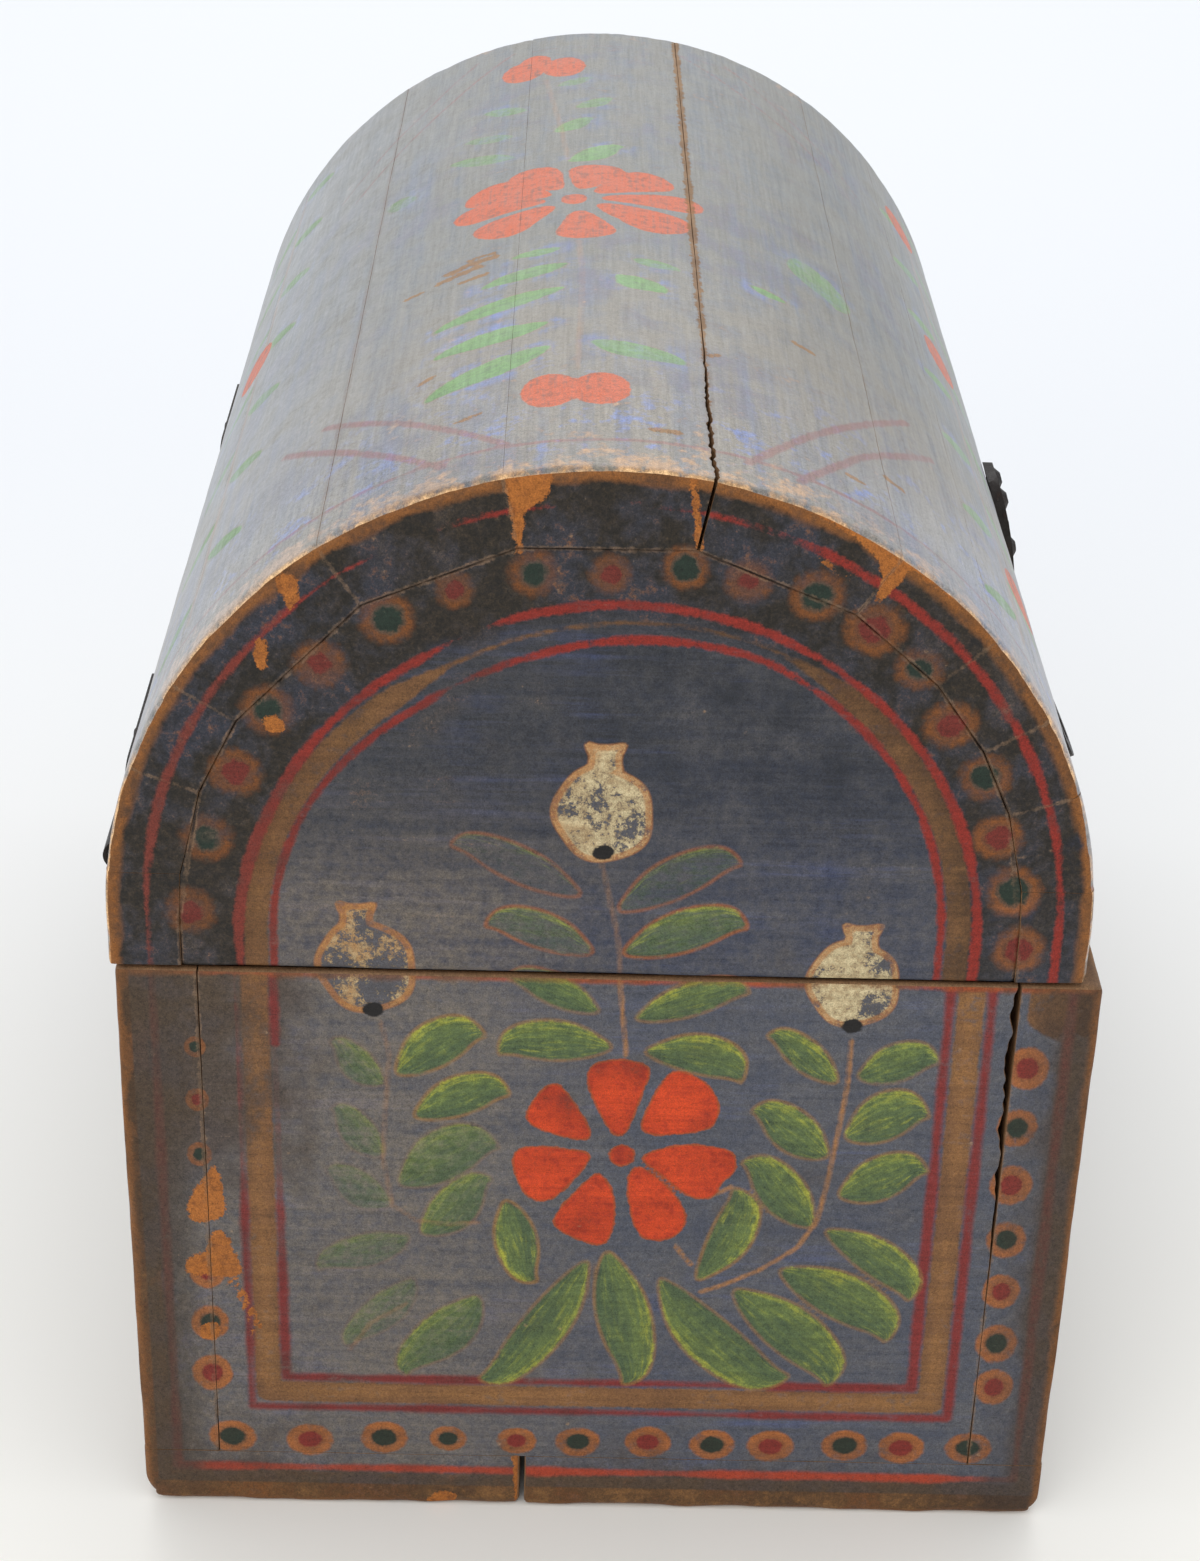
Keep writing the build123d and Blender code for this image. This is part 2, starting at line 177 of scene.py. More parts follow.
class Ripple:
    """Smooth seeded noise made of plane waves, mostly between -1 and 1."""

    def __init__(self, seed: int, spacing: float, waves: int = 14) -> None:
        """Draw the waves.

        Args:
            seed: The seed of its waves.
            spacing: The usual distance between crests.
            waves: How many waves.
        """
        draw = np.random.default_rng(seed)
        heading = draw.normal(size=(waves, 3))
        heading /= np.linalg.norm(heading, axis=1)[:, None]
        self.pace = heading * (2 * math.pi / (spacing * draw.uniform(0.6, 1.7, waves)))[:, None]
        self.phase = draw.uniform(0, 2 * math.pi, waves)
        self.scale = math.sqrt(waves)

    def at(self, points: Array) -> Array:
        """The noise at each point."""
        return np.sin(points @ self.pace.T + self.phase).sum(axis=1) / self.scale


def ramp(values: Array, start: float, end: float) -> Array:
    """0 up to the start, 1 from the end on, and a straight slope between."""
    return np.clip((values - start) / (end - start), 0, 1)


def tent(values: Array, peak: float, reach: float) -> Array:
    """1 at the peak, falling to 0 at its reach on both sides."""
    return np.clip(1 - np.abs(values - peak) / reach, 0, 1)


def path_distance(points: Array, path: list[Pair]) -> Array:
    """Distance from each point to an open path of straight runs.

    Args:
        points: The places.
        path: The corners of the path.

    Returns:
        The distances.
    """
    best = np.full(len(points), np.inf)
    corners = np.asarray(path, float)
    for start, end in zip(corners[:-1], corners[1:]):
        run = end - start
        reach = points - start
        share = np.clip(reach @ run / max(run @ run, 1e-9), 0, 1)
        best = np.minimum(best, np.hypot(*(reach - share[:, None] * run).T))
    return best


def polygon_depth(points: Array, corners: Array) -> Array:
    """How far each point lies inside a closed outline, negative outside.

    Args:
        points: The places.
        corners: The corners of the outline.

    Returns:
        The depths.
    """
    closed = np.vstack([corners, corners[:1]])
    gap = path_distance(points, closed)
    inside = np.zeros(len(points), bool)
    for (x0, y0), (x1, y1) in zip(closed[:-1], closed[1:]):
        if y0 == y1:
            continue
        crosses = (y0 > points[:, 1]) != (y1 > points[:, 1])
        inside ^= crosses & (points[:, 0] < (x1 - x0) * (points[:, 1] - y0) / (y1 - y0) + x0)
    return np.where(inside, gap, -gap)


def rounded(corners: Array, rounds: int = 2) -> Array:
    """A closed outline with its corners cut off again and again.

    Args:
        corners: The corners of the outline.
        rounds: How often they are cut.

    Returns:
        The new corners.
    """
    for _ in range(rounds):
        following = np.roll(corners, -1, axis=0)
        pair = np.stack([0.75 * corners + 0.25 * following, 0.25 * corners + 0.75 * following], axis=1)
        corners = pair.reshape(-1, 2)
    return corners


def ellipse_depth(points: Array, centre: Pair, across: float, up: float) -> Array:
    """How far each point lies inside an ellipse, near enough for paint."""
    scaled = np.hypot((points[:, 0] - centre[0]) / across, (points[:, 1] - centre[1]) / up)
    return (1 - scaled) * min(across, up)


# ---- painted motifs


# Share of the way to the tip, bulge of the full side, bulge of the lean side, hook below the tip
LEAF_SHAPE = (
    (0.0, 0.05, 0.05, 0.0), (0.12, 0.42, 0.55, 0.0), (0.3, 0.82, 0.95, 0.0), (0.5, 1.0, 1.0, 0.0),
    (0.7, 1.0, 0.7, 0.05), (0.84, 0.9, 0.3, 0.15), (0.95, 0.68, 0.05, 0.12), (1.0, 0.3, 0.0, 0.0),
)


@dataclass(frozen=True)
class Leaf:
    """One brushed leaf: fuller on one side, blunt and a little hooked at its tip.

    Attributes:
        root: Where the leaf starts.
        tip: Where it ends.
        toward: The direction of its full side.
        full: How far the full side bulges.
        lean: How far the other side bulges.
        tone: How bright the paint still is, 0 to 1.
    """

    root: Pair
    tip: Pair
    toward: Pair
    full: float
    lean: float
    tone: float = 1.0

    def measure(self, points: Array) -> tuple[Array, Array, Array]:
        """Depth inside the leaf, place along it and place across it for each point.

        Args:
            points: Places in the plane of the side, in millimetres.

        Returns:
            The depth, and the places along and across.
        """
        root = np.asarray(self.root, float)
        run = np.asarray(self.tip, float) - root
        length = math.hypot(*run)
        side = np.array([-run[1], run[0]]) / length
        if side @ np.asarray(self.toward, float) < 0:
            side = -side
        share, full_side, lean_side, hook = np.array(LEAF_SHAPE).T
        upper = self.full * full_side
        lower = (self.lean + 0.35) * lean_side - 0.45 * self.full * hook
        spine = root + share[:, None] * run
        outline = np.vstack([spine + upper[:, None] * side, (spine - lower[:, None] * side)[-1:0:-1]])
        depth = polygon_depth(points, rounded(outline))
        along = np.clip((points - root) @ run / length**2, 0, 1)
        above, below = np.interp(along, share, upper), np.interp(along, share, lower)
        across = ((points - root) @ side - (above - below) / 2) / np.maximum((above + below) / 2, 0.4)
        return depth, along, np.clip(across, -1.5, 1.5)

    def moved(self, place: "Placing") -> "Leaf":
        """The same leaf on another part of a side."""
        return Leaf(place.put(self.root), place.put(self.tip), self.toward, self.full * place.size,
                    self.lean * place.size, self.tone * place.tone)


@dataclass(frozen=True)
class Placing:
    """Where a group of motifs is repeated: its offset, size and brightness."""

    offset: Pair
    size: float = 1.0
    tone: float = 1.0

    def put(self, point: Pair) -> Pair:
        """A point, sized and moved."""
        return self.offset[0] + self.size * point[0], self.offset[1] + self.size * point[1]


@dataclass(frozen=True)
class Dot:
    """A border dot: an ochre ring round a dark eye."""

    place: Pair
    tint: Tint
    size: float = 1.0


def oval(middle: Pair, along: float, across: float, corners: int = 16) -> Array:
    """An oval outline."""
    turns = np.linspace(0, 2 * math.pi, corners, endpoint=False)
    return np.stack([middle[0] + along * np.cos(turns), middle[1] + across * np.sin(turns)], axis=1)


def petal(middle: Pair, heading: float, start: float, end: float, half: float) -> Array:
    """The outline of one broad petal that opens away from a flower's middle.

    Args:
        middle: The flower's middle.
        heading: The petal's direction in degrees.
        start: Distance of its narrow end from the middle.
        end: Distance of its broad end.
        half: Half its greatest width.

    Returns:
        The rounded corners of the outline.
    """
    share = ((0.0, 0.22), (0.35, 0.6), (0.75, 1.0), (0.95, 0.72), (1.03, 0.0))
    upper = [(start + s * (end - start), w * half) for s, w in share]
    ring = np.array(upper + [(x, -y) for x, y in reversed(upper[:-1])])
    turn = math.radians(heading)
    spin = np.array([[math.cos(turn), math.sin(turn)], [-math.sin(turn), math.cos(turn)]])
    return rounded(ring @ spin + np.asarray(middle, float))


# The flower of the end boards, each petal as it was brushed
END_FLOWER_EYE = (-2.4, 63.15)
END_PETALS = (
    ((2.7, 76.7), (1.5, 78.3), (-2, 78.9), (-5, 78.2), (-5.9, 76.8), (-4.9, 74), (-2.9, 66.6), (-1.6, 66.4),
     (-0.6, 67.2), (2.2, 73.5)),
    ((-9, 77.5), (-13, 75.75), (-15.25, 72.5), (-15, 68.5), (-12.5, 67.25), (-7.5, 66.5), (-4.75, 67.25),
     (-5.25, 70), (-7.5, 75.5)),
    ((-5.5, 63.5), (-10.5, 65.25), (-16.5, 64.75), (-18, 63), (-17.75, 60.5), (-16, 59), (-15.5, 56.75),
     (-13.5, 56), (-11, 57), (-7.5, 60.5), (-5.25, 62.25)),
    ((-4, 61.25), (-5.5, 61.25), (-10, 56.75), (-11.75, 52.75), (-10.5, 49.75), (-7.5, 48.75), (-5, 49.75),
     (-3.75, 54), (-3.25, 59)),
    ((0.5, 60.25), (-1.5, 57), (-1.75, 51.5), (-0.5, 47.75), (2.5, 48.5), (6.25, 50.5), (6.75, 52.5),
     (4.5, 56), (1.5, 59.75)),
    ((12.5, 63.75), (9, 64.5), (5, 64), (2, 63.5), (2, 62), (5.5, 57), (7.5, 55.25), (10, 55.5), (12, 59)),
    ((7, 75.25), (5, 73), (2, 67.5), (2, 65.5), (5.5, 66), (10, 67.75), (10.75, 69.5), (9.5, 72.5)),
)
# Root, tip, direction of the full side, how far the full and the lean side bulge, and brightness
END_LEAVES = tuple(Leaf(row[:2], row[2:4], row[4:6], *row[6:]) for row in (
    (28.25, 75.4, 16, 82, 0.48, 0.88, 5.7, 1.2, 0.9), (26, 68.5, 12.75, 72.5, 0.29, 0.96, 5.2, 1.0, 0.9),
    (28, 57, 14, 63.8, 0.43, 0.9, 6.6, 1.5, 0.35), (25, 49, 15, 58.75, 0.70, 0.72, 3.6, 3.0, 0.4),
    (13.25, 55.75, 8.5, 41.4, 0.95, -0.31, 4.0, 1.8, 0.95), (29.6, 73.75, 37, 80.75, -0.7, 0.7, 2.5, 2.2, 0.3),
    (29.75, 62, 37, 70, -0.7, 0.7, 2.8, 2.2, 0.25), (28.75, 53.75, 38, 59.5, -0.5, 0.8, 3.0, 2.5, 0.2),
    (26, 48.75, 39, 42.5, 0.4, 0.9, 3.5, 2.0, 0.25), (25.5, 41.75, 35, 29, 0.8, 0.6, 3.0, 2.5, 0.25),
    (16.5, 39, 27, 24, 0.8, 0.6, 4.0, 3.5, 0.4), (1.75, 46, 17, 23.75, -0.83, -0.57, 5.8, 0.8, 0.7),
    (-0.5, 47.5, -3.5, 23.1, -0.99, 0.12, 5.5, 2.1, 0.85), (-8.15, 43.25, -27.6, 25.4, 0.68, -0.74, 7.7, 0.1, 0.75),
    (-18, 40.75, -32.6, 23.4, -0.77, 0.64, 6.5, 1.5, 0.7), (-24.25, 44.25, -40.4, 31.5, -0.61, 0.79, 6.6, 1.3, 0.75),
    (-30.25, 51.25, -43, 39, -0.69, 0.72, 5.5, 0.5, 0.75), (-32, 56.75, -44.25, 61.25, 0.35, 0.94, 5.0, 2.1, 0.8),
    (-32.25, 66.5, -43.75, 70.25, 0.31, 0.95, 6.1, 1.6, 0.8), (-33.25, 76.5, -44.25, 79, 0.22, 0.98, 4.6, 1.4, 0.6),
    (-31, 75.5, -20.9, 82.9, -0.58, 0.82, 3.4, 1.2, 0.85), (-30.5, 63.25, -19.4, 70.75, -0.56, 0.83, 4.3, 2.2, 0.8),
    (-29, 51.25, -18.5, 62.25, -0.72, 0.69, 4.6, 2.1, 0.75), (-13, 41.8, -17.5, 58.25, -0.97, -0.26, 5.8, 0.1, 0.95),
    (-4.5, 80, -18, 75.25, -0.33, 0.94, 5.9, 0.4, 0.9), (-1, 80.5, 14.5, 79, 0.1, 1, 5.3, 1.0, 0.8),
    (-3.25, 85, -18.5, 89.5, 0, 1, 4.0, 1.0, 0.75), (1, 86, 13.5, 91, 0, 1, 3.5, 1.0, 0.55),
    (3.75, 103.75, 21, 111, -0.39, 0.92, 3.9, 1.2, 0.45), (2, 95, 16.5, 99, -0.27, 0.96, 4.6, 0.8, 0.75),
    (-0.5, 101.5, -16.5, 109, 0.42, 0.9, 4.9, 1.0, 0.6), (-1.25, 95, -17.75, 99.5, 0.26, 0.96, 5.0, 1.2, 0.95),
))
END_STEMS = (
    ((-32.25, 82.5), (-32.25, 75.5), (-31.25, 66), (-30.5, 59), (-29.5, 52.5), (-27, 48), (-22, 44),
     (-17.5, 41.5), (-14, 40)),
    ((30, 84), (29, 79), (29.25, 75), (29.5, 71.5), (30, 62), (28.75, 54), (25.5, 51.5), (21, 51), (17, 51.5)),
    ((35, 28.5), (32, 33.5), (27, 37)),
    ((-2.5, 79.5), (-1.5, 89.3), (-1, 97), (1.5, 109)),
    ((-10.25, 48), (-12.5, 44.8)),
    ((-17.5, 58.25), (-14.5, 56.5)),
)
# Radius of the two red arcs of the lid at some angles round it, as they were brushed
ARC_RADII = (
    ((0, 24, 59, 73, 94, 113, 135, 180), (46.8, 45.6, 45.4, 46.2, 47.1, 47.8, 48.2, 48.9)),
    ((0, 27, 54, 71, 82, 95, 115, 152, 180), (42.4, 41.5, 39.9, 40.5, 41.2, 42.5, 44.2, 44.3, 44.2)),
)
END_DOTS = tuple(Dot((y, z), tint, size) for tint, rows in (
    (Tint.GREEN, ((52, 12.3, 1.0), (30.3, 12.5, 1.0), (21.1, 12.6, 0.8), (2.5, 12.4, 0.95), (-16.9, 12.4, 0.95),
        (-36, 12.6, 1.0), (-53.9, 12.6, 1.0), (-55.6, 69, 0.95), (-55.8, 50.25, 0.95), (-56.2, 32, 1.0),
        (54.5, 33, 0.9), (54.8, 62, 0.6), (54.8, 79.5, 0.5), (52, 111.5, 1.0), (43.5, 130, 1.0), (28.75, 143, 1.0),
        (10.75, 149.5, 0.95), (-7.5, 150.75, 0.85), (-23.75, 147.5, 1.0), (-37, 137.75, 0.9), (-46.5, 122.75, 1.0),
        (-51.5, 106.25, 1.05))),
    (Tint.RED, ((40.9, 12, 1.0), (11.3, 12.4, 0.85), (-7.6, 12.6, 1.0), (-25.3, 12.2, 1.0), (-44.1, 12.4, 1.0),
        (-56, 78.75, 1.0), (-55.6, 59.5, 1.0), (-56, 41.25, 0.9), (-56.5, 24, 0.95), (54.5, 24, 0.95),
        (54.5, 42, 0.85), (54.8, 71, 0.55), (54.5, 100.5, 1.0), (48, 121, 1.0), (37, 136.5, 1.0), (20.5, 147.2, 0.75),
        (1.5, 149.5, 0.8), (-15.25, 149.25, 0.9), (-31, 143.2, 1.1), (-41.5, 130, 1.0), (-49, 114, 0.95),
        (-53, 97.25, 1.0))),
) for y, z, size in rows)


@dataclass(frozen=True)
class Bud:
    """A round cream fruit with a small pinched crown above and a dark notch below."""

    middle: Pair
    radius: float
    crown: Pair
    notch: Pair

    def measure(self, points: Array) -> tuple[Array, Array]:
        """Depth inside the fruit and inside its notch for each point.

        Args:
            points: Places in the plane of the side, in millimetres.

        Returns:
            The two depths.
        """
        reach = points - self.middle
        turn = np.arctan2(*reach.T)
        disc = self.radius * (1 + 0.05 * np.sin(2 * turn + 1) + 0.03 * np.sin(5 * turn)) - np.hypot(*reach.T)
        neck = np.array([(-2.8, 2.6), (-2.5, 1.5), (-1.9, 0.2), (-2.6, -2.5), (2.6, -2.5), (1.9, 0.3), (2.5, 1.4),
                         (2.7, 2.7), (0.4, 2.0)])
        crown = polygon_depth(points, rounded(neck + self.crown, 1))
        return np.maximum(disc, crown), ellipse_depth(points, self.notch, 1.5, 1.15)


END_BUDS = (
    Bud((1.6, 116.2), 6.7, (1.5, 124.0), (1.4, 110.6)),
    Bud((31.9, 92.6), 6.8, (33.1, 99.9), (31.0, 86.0)),
    Bud((-31.9, 91.4), 6.4, (-32.6, 98.2), (-32.2, 84.9)),
)


# ---- the painted sides


@dataclass
class Measures:
    """What the finish reads at each point of a side, as six groups of three numbers."""

    count: int
    flower: Array = field(init=False)
    leaf: Array = field(init=False)
    border: Array = field(init=False)
    dots: Array = field(init=False)
    wear: Array = field(init=False)
    ground: Array = field(init=False)

    def __post_init__(self) -> None:
        """Start with bare places far from any motif."""
        for name in self.names():
            setattr(self, name, np.full((self.count, 3), FAR))
        self.dots[:] = (DOT_REACH, 0.0, 0.0)
        self.leaf[:, 1:] = 0.0
        self.ground[:] = 0.0

    @staticmethod
    def names() -> tuple[str, ...]:
        """The names of the attributes."""
        return "flower", "leaf", "border", "dots", "wear", "ground"

    def raise_to(self, name: str, column: int, values: Array) -> None:
        """Keep the greater of what is there and the new depths."""
        group = getattr(self, name)
        group[:, column] = np.maximum(group[:, column], values)


class PaintedSide:
    """One side of the box with its motifs, measured in its own plane in millimetres."""

    petals: tuple[Array, ...] = ()
    leaves: tuple[Leaf, ...] = ()
    stems: tuple[tuple[Pair, ...], ...] = ()
    dots: tuple[Dot, ...] = ()
    buds: tuple[Bud, ...] = ()
    stem_half: float = 0.5

    def measure(self, points: Array) -> Measures:
        """Measure every motif at each point.

        Args:
            points: Places in the plane of the side.

        Returns:
            The filled groups of numbers.
        """
        found = Measures(len(points))
        self._flowers(points, found)
        self._leaves(points, found)
        self._dots(points, found)
        for path in self.stems:
            found.raise_to("border", 2, self.stem_half - path_distance(points, path))
        self._lines(points, found)
        self._wear(points, found)
        np.maximum(found.border, FAR, out=found.border)
        np.maximum(found.wear, FAR, out=found.wear)
        return found

    @staticmethod
    def _u_path(back: float, front: float, foot: float) -> list[Pair]:
        """A border line of the base: down one side, along the foot and up the other."""
        return [(back, ABOVE_RIM), (back, foot), (front, foot), (front, ABOVE_RIM)]

    @staticmethod
    def _near(points: Array, corners: Array, margin: float = 3.0) -> Array:
        """Which points lie in the box round some corners."""
        low, high = corners.min(axis=0) - margin, corners.max(axis=0) + margin
        return np.flatnonzero(((points > low) & (points < high)).all(axis=1))

    def _flowers(self, points: Array, found: Measures) -> None:
        """Petals and cream fruits.

        Args:
            points: Places in the plane of the side, in millimetres.
            found: The measures to fill.
        """
        for outline in self.petals:
            near = self._near(points, outline)
            depth = polygon_depth(points[near], outline)
            found.flower[near, 0] = np.maximum(found.flower[near, 0], depth)
        for bud in self.buds:
            disc, notch = bud.measure(points)
            found.raise_to("flower", 1, disc)
            found.raise_to("flower", 2, notch)

    def _leaves(self, points: Array, found: Measures) -> None:
        """Leaves; a point belongs to the leaf that it lies deepest in.

        Args:
            points: Places in the plane of the side, in millimetres.
            found: The measures to fill.
        """
        for leaf in self.leaves:
            ends = np.array([leaf.root, leaf.tip])
            near = self._near(points, ends, leaf.full + 3)
            depth, along, across = leaf.measure(points[near])
            chosen = depth > found.leaf[near, 0]
            found.leaf[near[chosen]] = np.stack([depth, along, across], axis=1)[chosen]
            found.dots[near[chosen], 2] = leaf.tone

    def _dots(self, points: Array, found: Measures) -> None:
        """The nearest border dot of each point.

        Args:
            points: Places in the plane of the side, in millimetres.
            found: The measures to fill.
        """
        if not self.dots:
            return
        places = np.array([dot.place for dot in self.dots])
        sizes = np.array([dot.size for dot in self.dots])
        tints = np.array([dot.tint.value for dot in self.dots])
        lean = np.where(places[:, 1] > 92, 1.0, np.where(places[:, 1] > 18, 1.07, 0.92))
        gaps = np.hypot((points[:, None, 0] - places[:, 0]) * lean, (points[:, None, 1] - places[:, 1]) / lean) / sizes
        nearest = gaps.argmin(axis=1)
        found.dots[:, 0] = np.minimum(gaps[np.arange(len(points)), nearest], DOT_REACH)
        found.dots[:, 1] = tints[nearest]

    def _lines(self, points: Array, found: Measures) -> None:
        """Red lines and ochre bands of the border."""

    def _wear(self, points: Array, found: Measures) -> None:
        """Worn edges, bare patches, joint lines and the tone of the ground."""
        found.ground[:, 0] = 1.0


class EndSide(PaintedSide):
    """An end of the box: the flower, its leaves and fruits, and the double border that spans the lid."""

    leaves = END_LEAVES
    stems = END_STEMS
    dots = END_DOTS
    buds = END_BUDS
    stem_half = 0.36

    def __init__(self, left: bool) -> None:
        """Lay out the petals.

        Args:
            left: Whether it is the left end, which has the chips and scratches.
        """
        self.left = left
        eye = oval(END_FLOWER_EYE, 1.7, 1.7, 12)
        self.petals = tuple(rounded(np.array(outline, float)) for outline in END_PETALS) + (eye,)

    def _lines(self, points: Array, found: Measures) -> None:
        """The border of the base and the arcs of the lid.

        Args:
            points: Places in the plane of the side, in millimetres.
            found: The measures to fill.
        """
        y, z = points.T
        base = z < (BOX.base_top + BOX.lid_bottom) / 2
        upper_left = ramp(y, 36, 42) * ramp(z, 50, 62)
        red = [
            0.8 - path_distance(points, self._u_path(60, -61, 6.8)),
            0.75 - path_distance(points, self._u_path(49, -50.4, 18.0)) - 0.4 * upper_left,
            0.8 - path_distance(points, self._u_path(44.1, -44.85, 23.4)) - 0.6 * upper_left * (z < 80),
        ]
        ochre = 1.85 - path_distance(points, self._u_path(46.6, -47.65, 20.75))
        smear = [(-55.2, 93), (-66, 93), (-66, 78), (-62.2, 82), (-57.2, 84.4), (-55.2, 86)]
        margin = np.maximum.reduce([y - 60.9, -y - 61.9, 5.9 - z, polygon_depth(points, np.array(smear))])
        lip = 0.38 - np.abs(z - 91.1)
        ring = np.hypot(y - BOX.dome_y, np.maximum(z - ARC_SPRING, 0))
        lift = ramp(z, ARC_SPRING, 158.5)
        outer = ring - np.where(y > BOX.dome_y, 58.5 + 2.0 * lift, 59.5 + 1.0 * lift)
        angle = np.degrees(np.arctan2(np.maximum(z - ARC_SPRING, 0), y - BOX.dome_y))
        wide, narrow = (np.interp(angle, *table) for table in ARC_RADII)
        arcs = [0.7 - np.abs(outer), 0.72 - np.abs(ring - wide), 0.62 - np.abs(ring - narrow)]
        top = ramp(angle, 52, 64) * ramp(angle, 132, 118)
        arc_ochre = 1.6 - np.abs(ring - (wide + narrow) / 2) - 1.35 * top
        arcs[0] = arcs[0] - 0.5 * tent(angle, 84, 34) ** 0.5
        arcs[1] = arcs[1] - 0.7 * tent(angle, 68, 8)
        arcs[2] = arcs[2] - 0.7 * tent(angle, 62, 5)
        flat = np.stack([np.zeros(len(y)), y, z], axis=1)
        fading = 0.3 * np.clip(Ripple(61, 26).at(flat), 0, 1) + 0.1 * Ripple(62, 9).at(flat)
        fading += 0.18 * ramp(y, 20, 45) * ramp(z, 45, 70) * base
        found.border[:, 0] = np.where(base, np.maximum.reduce([*red, lip]), np.maximum.reduce(arcs)) - fading
        found.border[:, 1] = np.where(base, np.maximum(ochre, margin), arc_ochre)

    def _wear(self, points: Array, found: Measures) -> None:
        """Worn arrises, bare wood at the joints and the browner outer ring.

        Args:
            points: Places in the plane of the side, in millimetres.
            found: The measures to fill.
        """
        super()._wear(points, found)
        y, z = points.T
        base = z < (BOX.base_top + BOX.lid_bottom) / 2
        radius = np.hypot(y - BOX.dome_y, np.maximum(z - BOX.dome_z, 0))
        rim = BOX.dome_radius - radius
        edge = np.minimum.reduce([BOX.half_depth - np.abs(y), z + 0.3, BOX.base_top + 0.5 - z])
        found.wear[:, 0] = np.where(base, 0.5 - edge, 0.9 - rim)
        angle = np.degrees(np.arctan2(np.maximum(z - BOX.dome_z, 0), y - BOX.dome_y))
        cracks = [(0.14, joint) for joint in BOX.joints] + [(0.12, 167.5)]
        joints = [half - path_distance(points, [BOX.dome_point(BOX.inner_radius, joint),
                                                BOX.dome_point(BOX.dome_radius, joint)]) for half, joint in cracks]
        arch = [BOX.dome_point(BOX.inner_radius, a) for a in (0.0, *BOX.joints, 180.0)]
        arch = [(arch[0][0], BOX.lid_bottom)] + arch + [(arch[-1][0], BOX.lid_bottom)]
        joints.append(0.3 - path_distance(points, arch))
        base_joints = [half - path_distance(points, [(y_joint, BOX.bottom), (y_joint, BOX.base_top)])
                       for half, y_joint in ((0.25, 54.2), (0.2, -54.0))]
        found.wear[:, 2] = np.where(base, np.maximum.reduce(base_joints), np.maximum.reduce(joints))
        brown = np.where(base, 0.3 * np.clip((np.maximum(np.abs(y) - 48, 18 - z)) / 10, 0, 1)
                         + 0.62 * np.clip((np.maximum(np.abs(y) - 58.5, 8 - z)) / 3, 0, 1)
                         + 0.6 * ramp(y, 34, 48) * ramp(z, 44, 68),
                         ramp(radius, 41, 48) * (1 - 0.25 * ramp(-y, 25, 55)))
        found.ground[:, 1] = 0.12 + 0.8 * brown
        dusty = 0.42 * ramp(y, -4, 22) * np.clip(1.2 - brown, 0, 1)
        # Close to the lid's rim the end takes the dome's paler ground and cream edge, partly painted sheen and painted
        # highlight.
        found.ground[:, 2] = np.where(base, dusty, np.maximum(dusty, np.clip(1.15 - rim, 0, 1)))
        if not self.left:
            return
        arris = tent(angle, 122, 24)
        chips = [
            [(14.6, 163.8), (9.4, 163.8), (8.6, 160.2), (10.6, 158.6), (12.2, 157.6), (12.2, 152), (13.2, 151.8),
             (13.6, 157), (14.4, 160)],
            [(-19, 162), (-31, 157.6), (-36, 154), (-34.6, 150.6), (-31.6, 146.6), (-30.6, 147.4), (-31.8, 151),
             (-28, 155.4), (-20, 159.6)],
            [(52.4, 61.3), (51.8, 55.2), (51.3, 52.4), (52.6, 50.8), (55.8, 50.4), (57.3, 51.7), (56.4, 55.1),
             (54.8, 57.4)],
            [(53.9, 49.6), (51.7, 49.1), (50.7, 45.7), (49.4, 42.2), (50.2, 41.0), (54.5, 41.2), (57.5, 41.4),
             (57.8, 44.3), (54.3, 45.6)],
            [(55.6, 33), (53.2, 33.4), (53.4, 29.6), (56.4, 30)],
            [(42.6, 148.6), (39.6, 149), (39.2, 145.6), (40.6, 143.4), (41.6, 146)],
            [(45.6, 141), (42.5, 140.5), (42.9, 135), (45.9, 134)],
            [(44.5, 129.6), (41.5, 129), (41.8, 126.6), (44.2, 127)],
            [(23.8, 2.5), (20, 2.8), (19.5, 0), (24.5, 0)],
        ]
        bare = [polygon_depth(points, rounded(np.array(chip))) for chip in chips]
        bare[6] -= 0.7
        scratches = (
            (0.36, ((53.5, 44), (50.5, 40), (47.5, 32.5))), (0.22, ((52, 41), (50, 37), (48.5, 31))),
            (0.5, ((-7.9, 163), (-8.7, 157), (-9.1, 153.5))), (0.6, ((11.5, 9), (10.9, 4), (10.8, 0))),
            (0.25, ((-23.4, 152.6), (-26.4, 150.4), (-27.6, 149.8))),
        )
        bare += [half - path_distance(points, path) for half, path in scratches]
        bare.append(np.where(base, FAR, -0.9 - rim + 2.2 * arris))
        found.wear[:, 1] = np.maximum.reduce(bare)


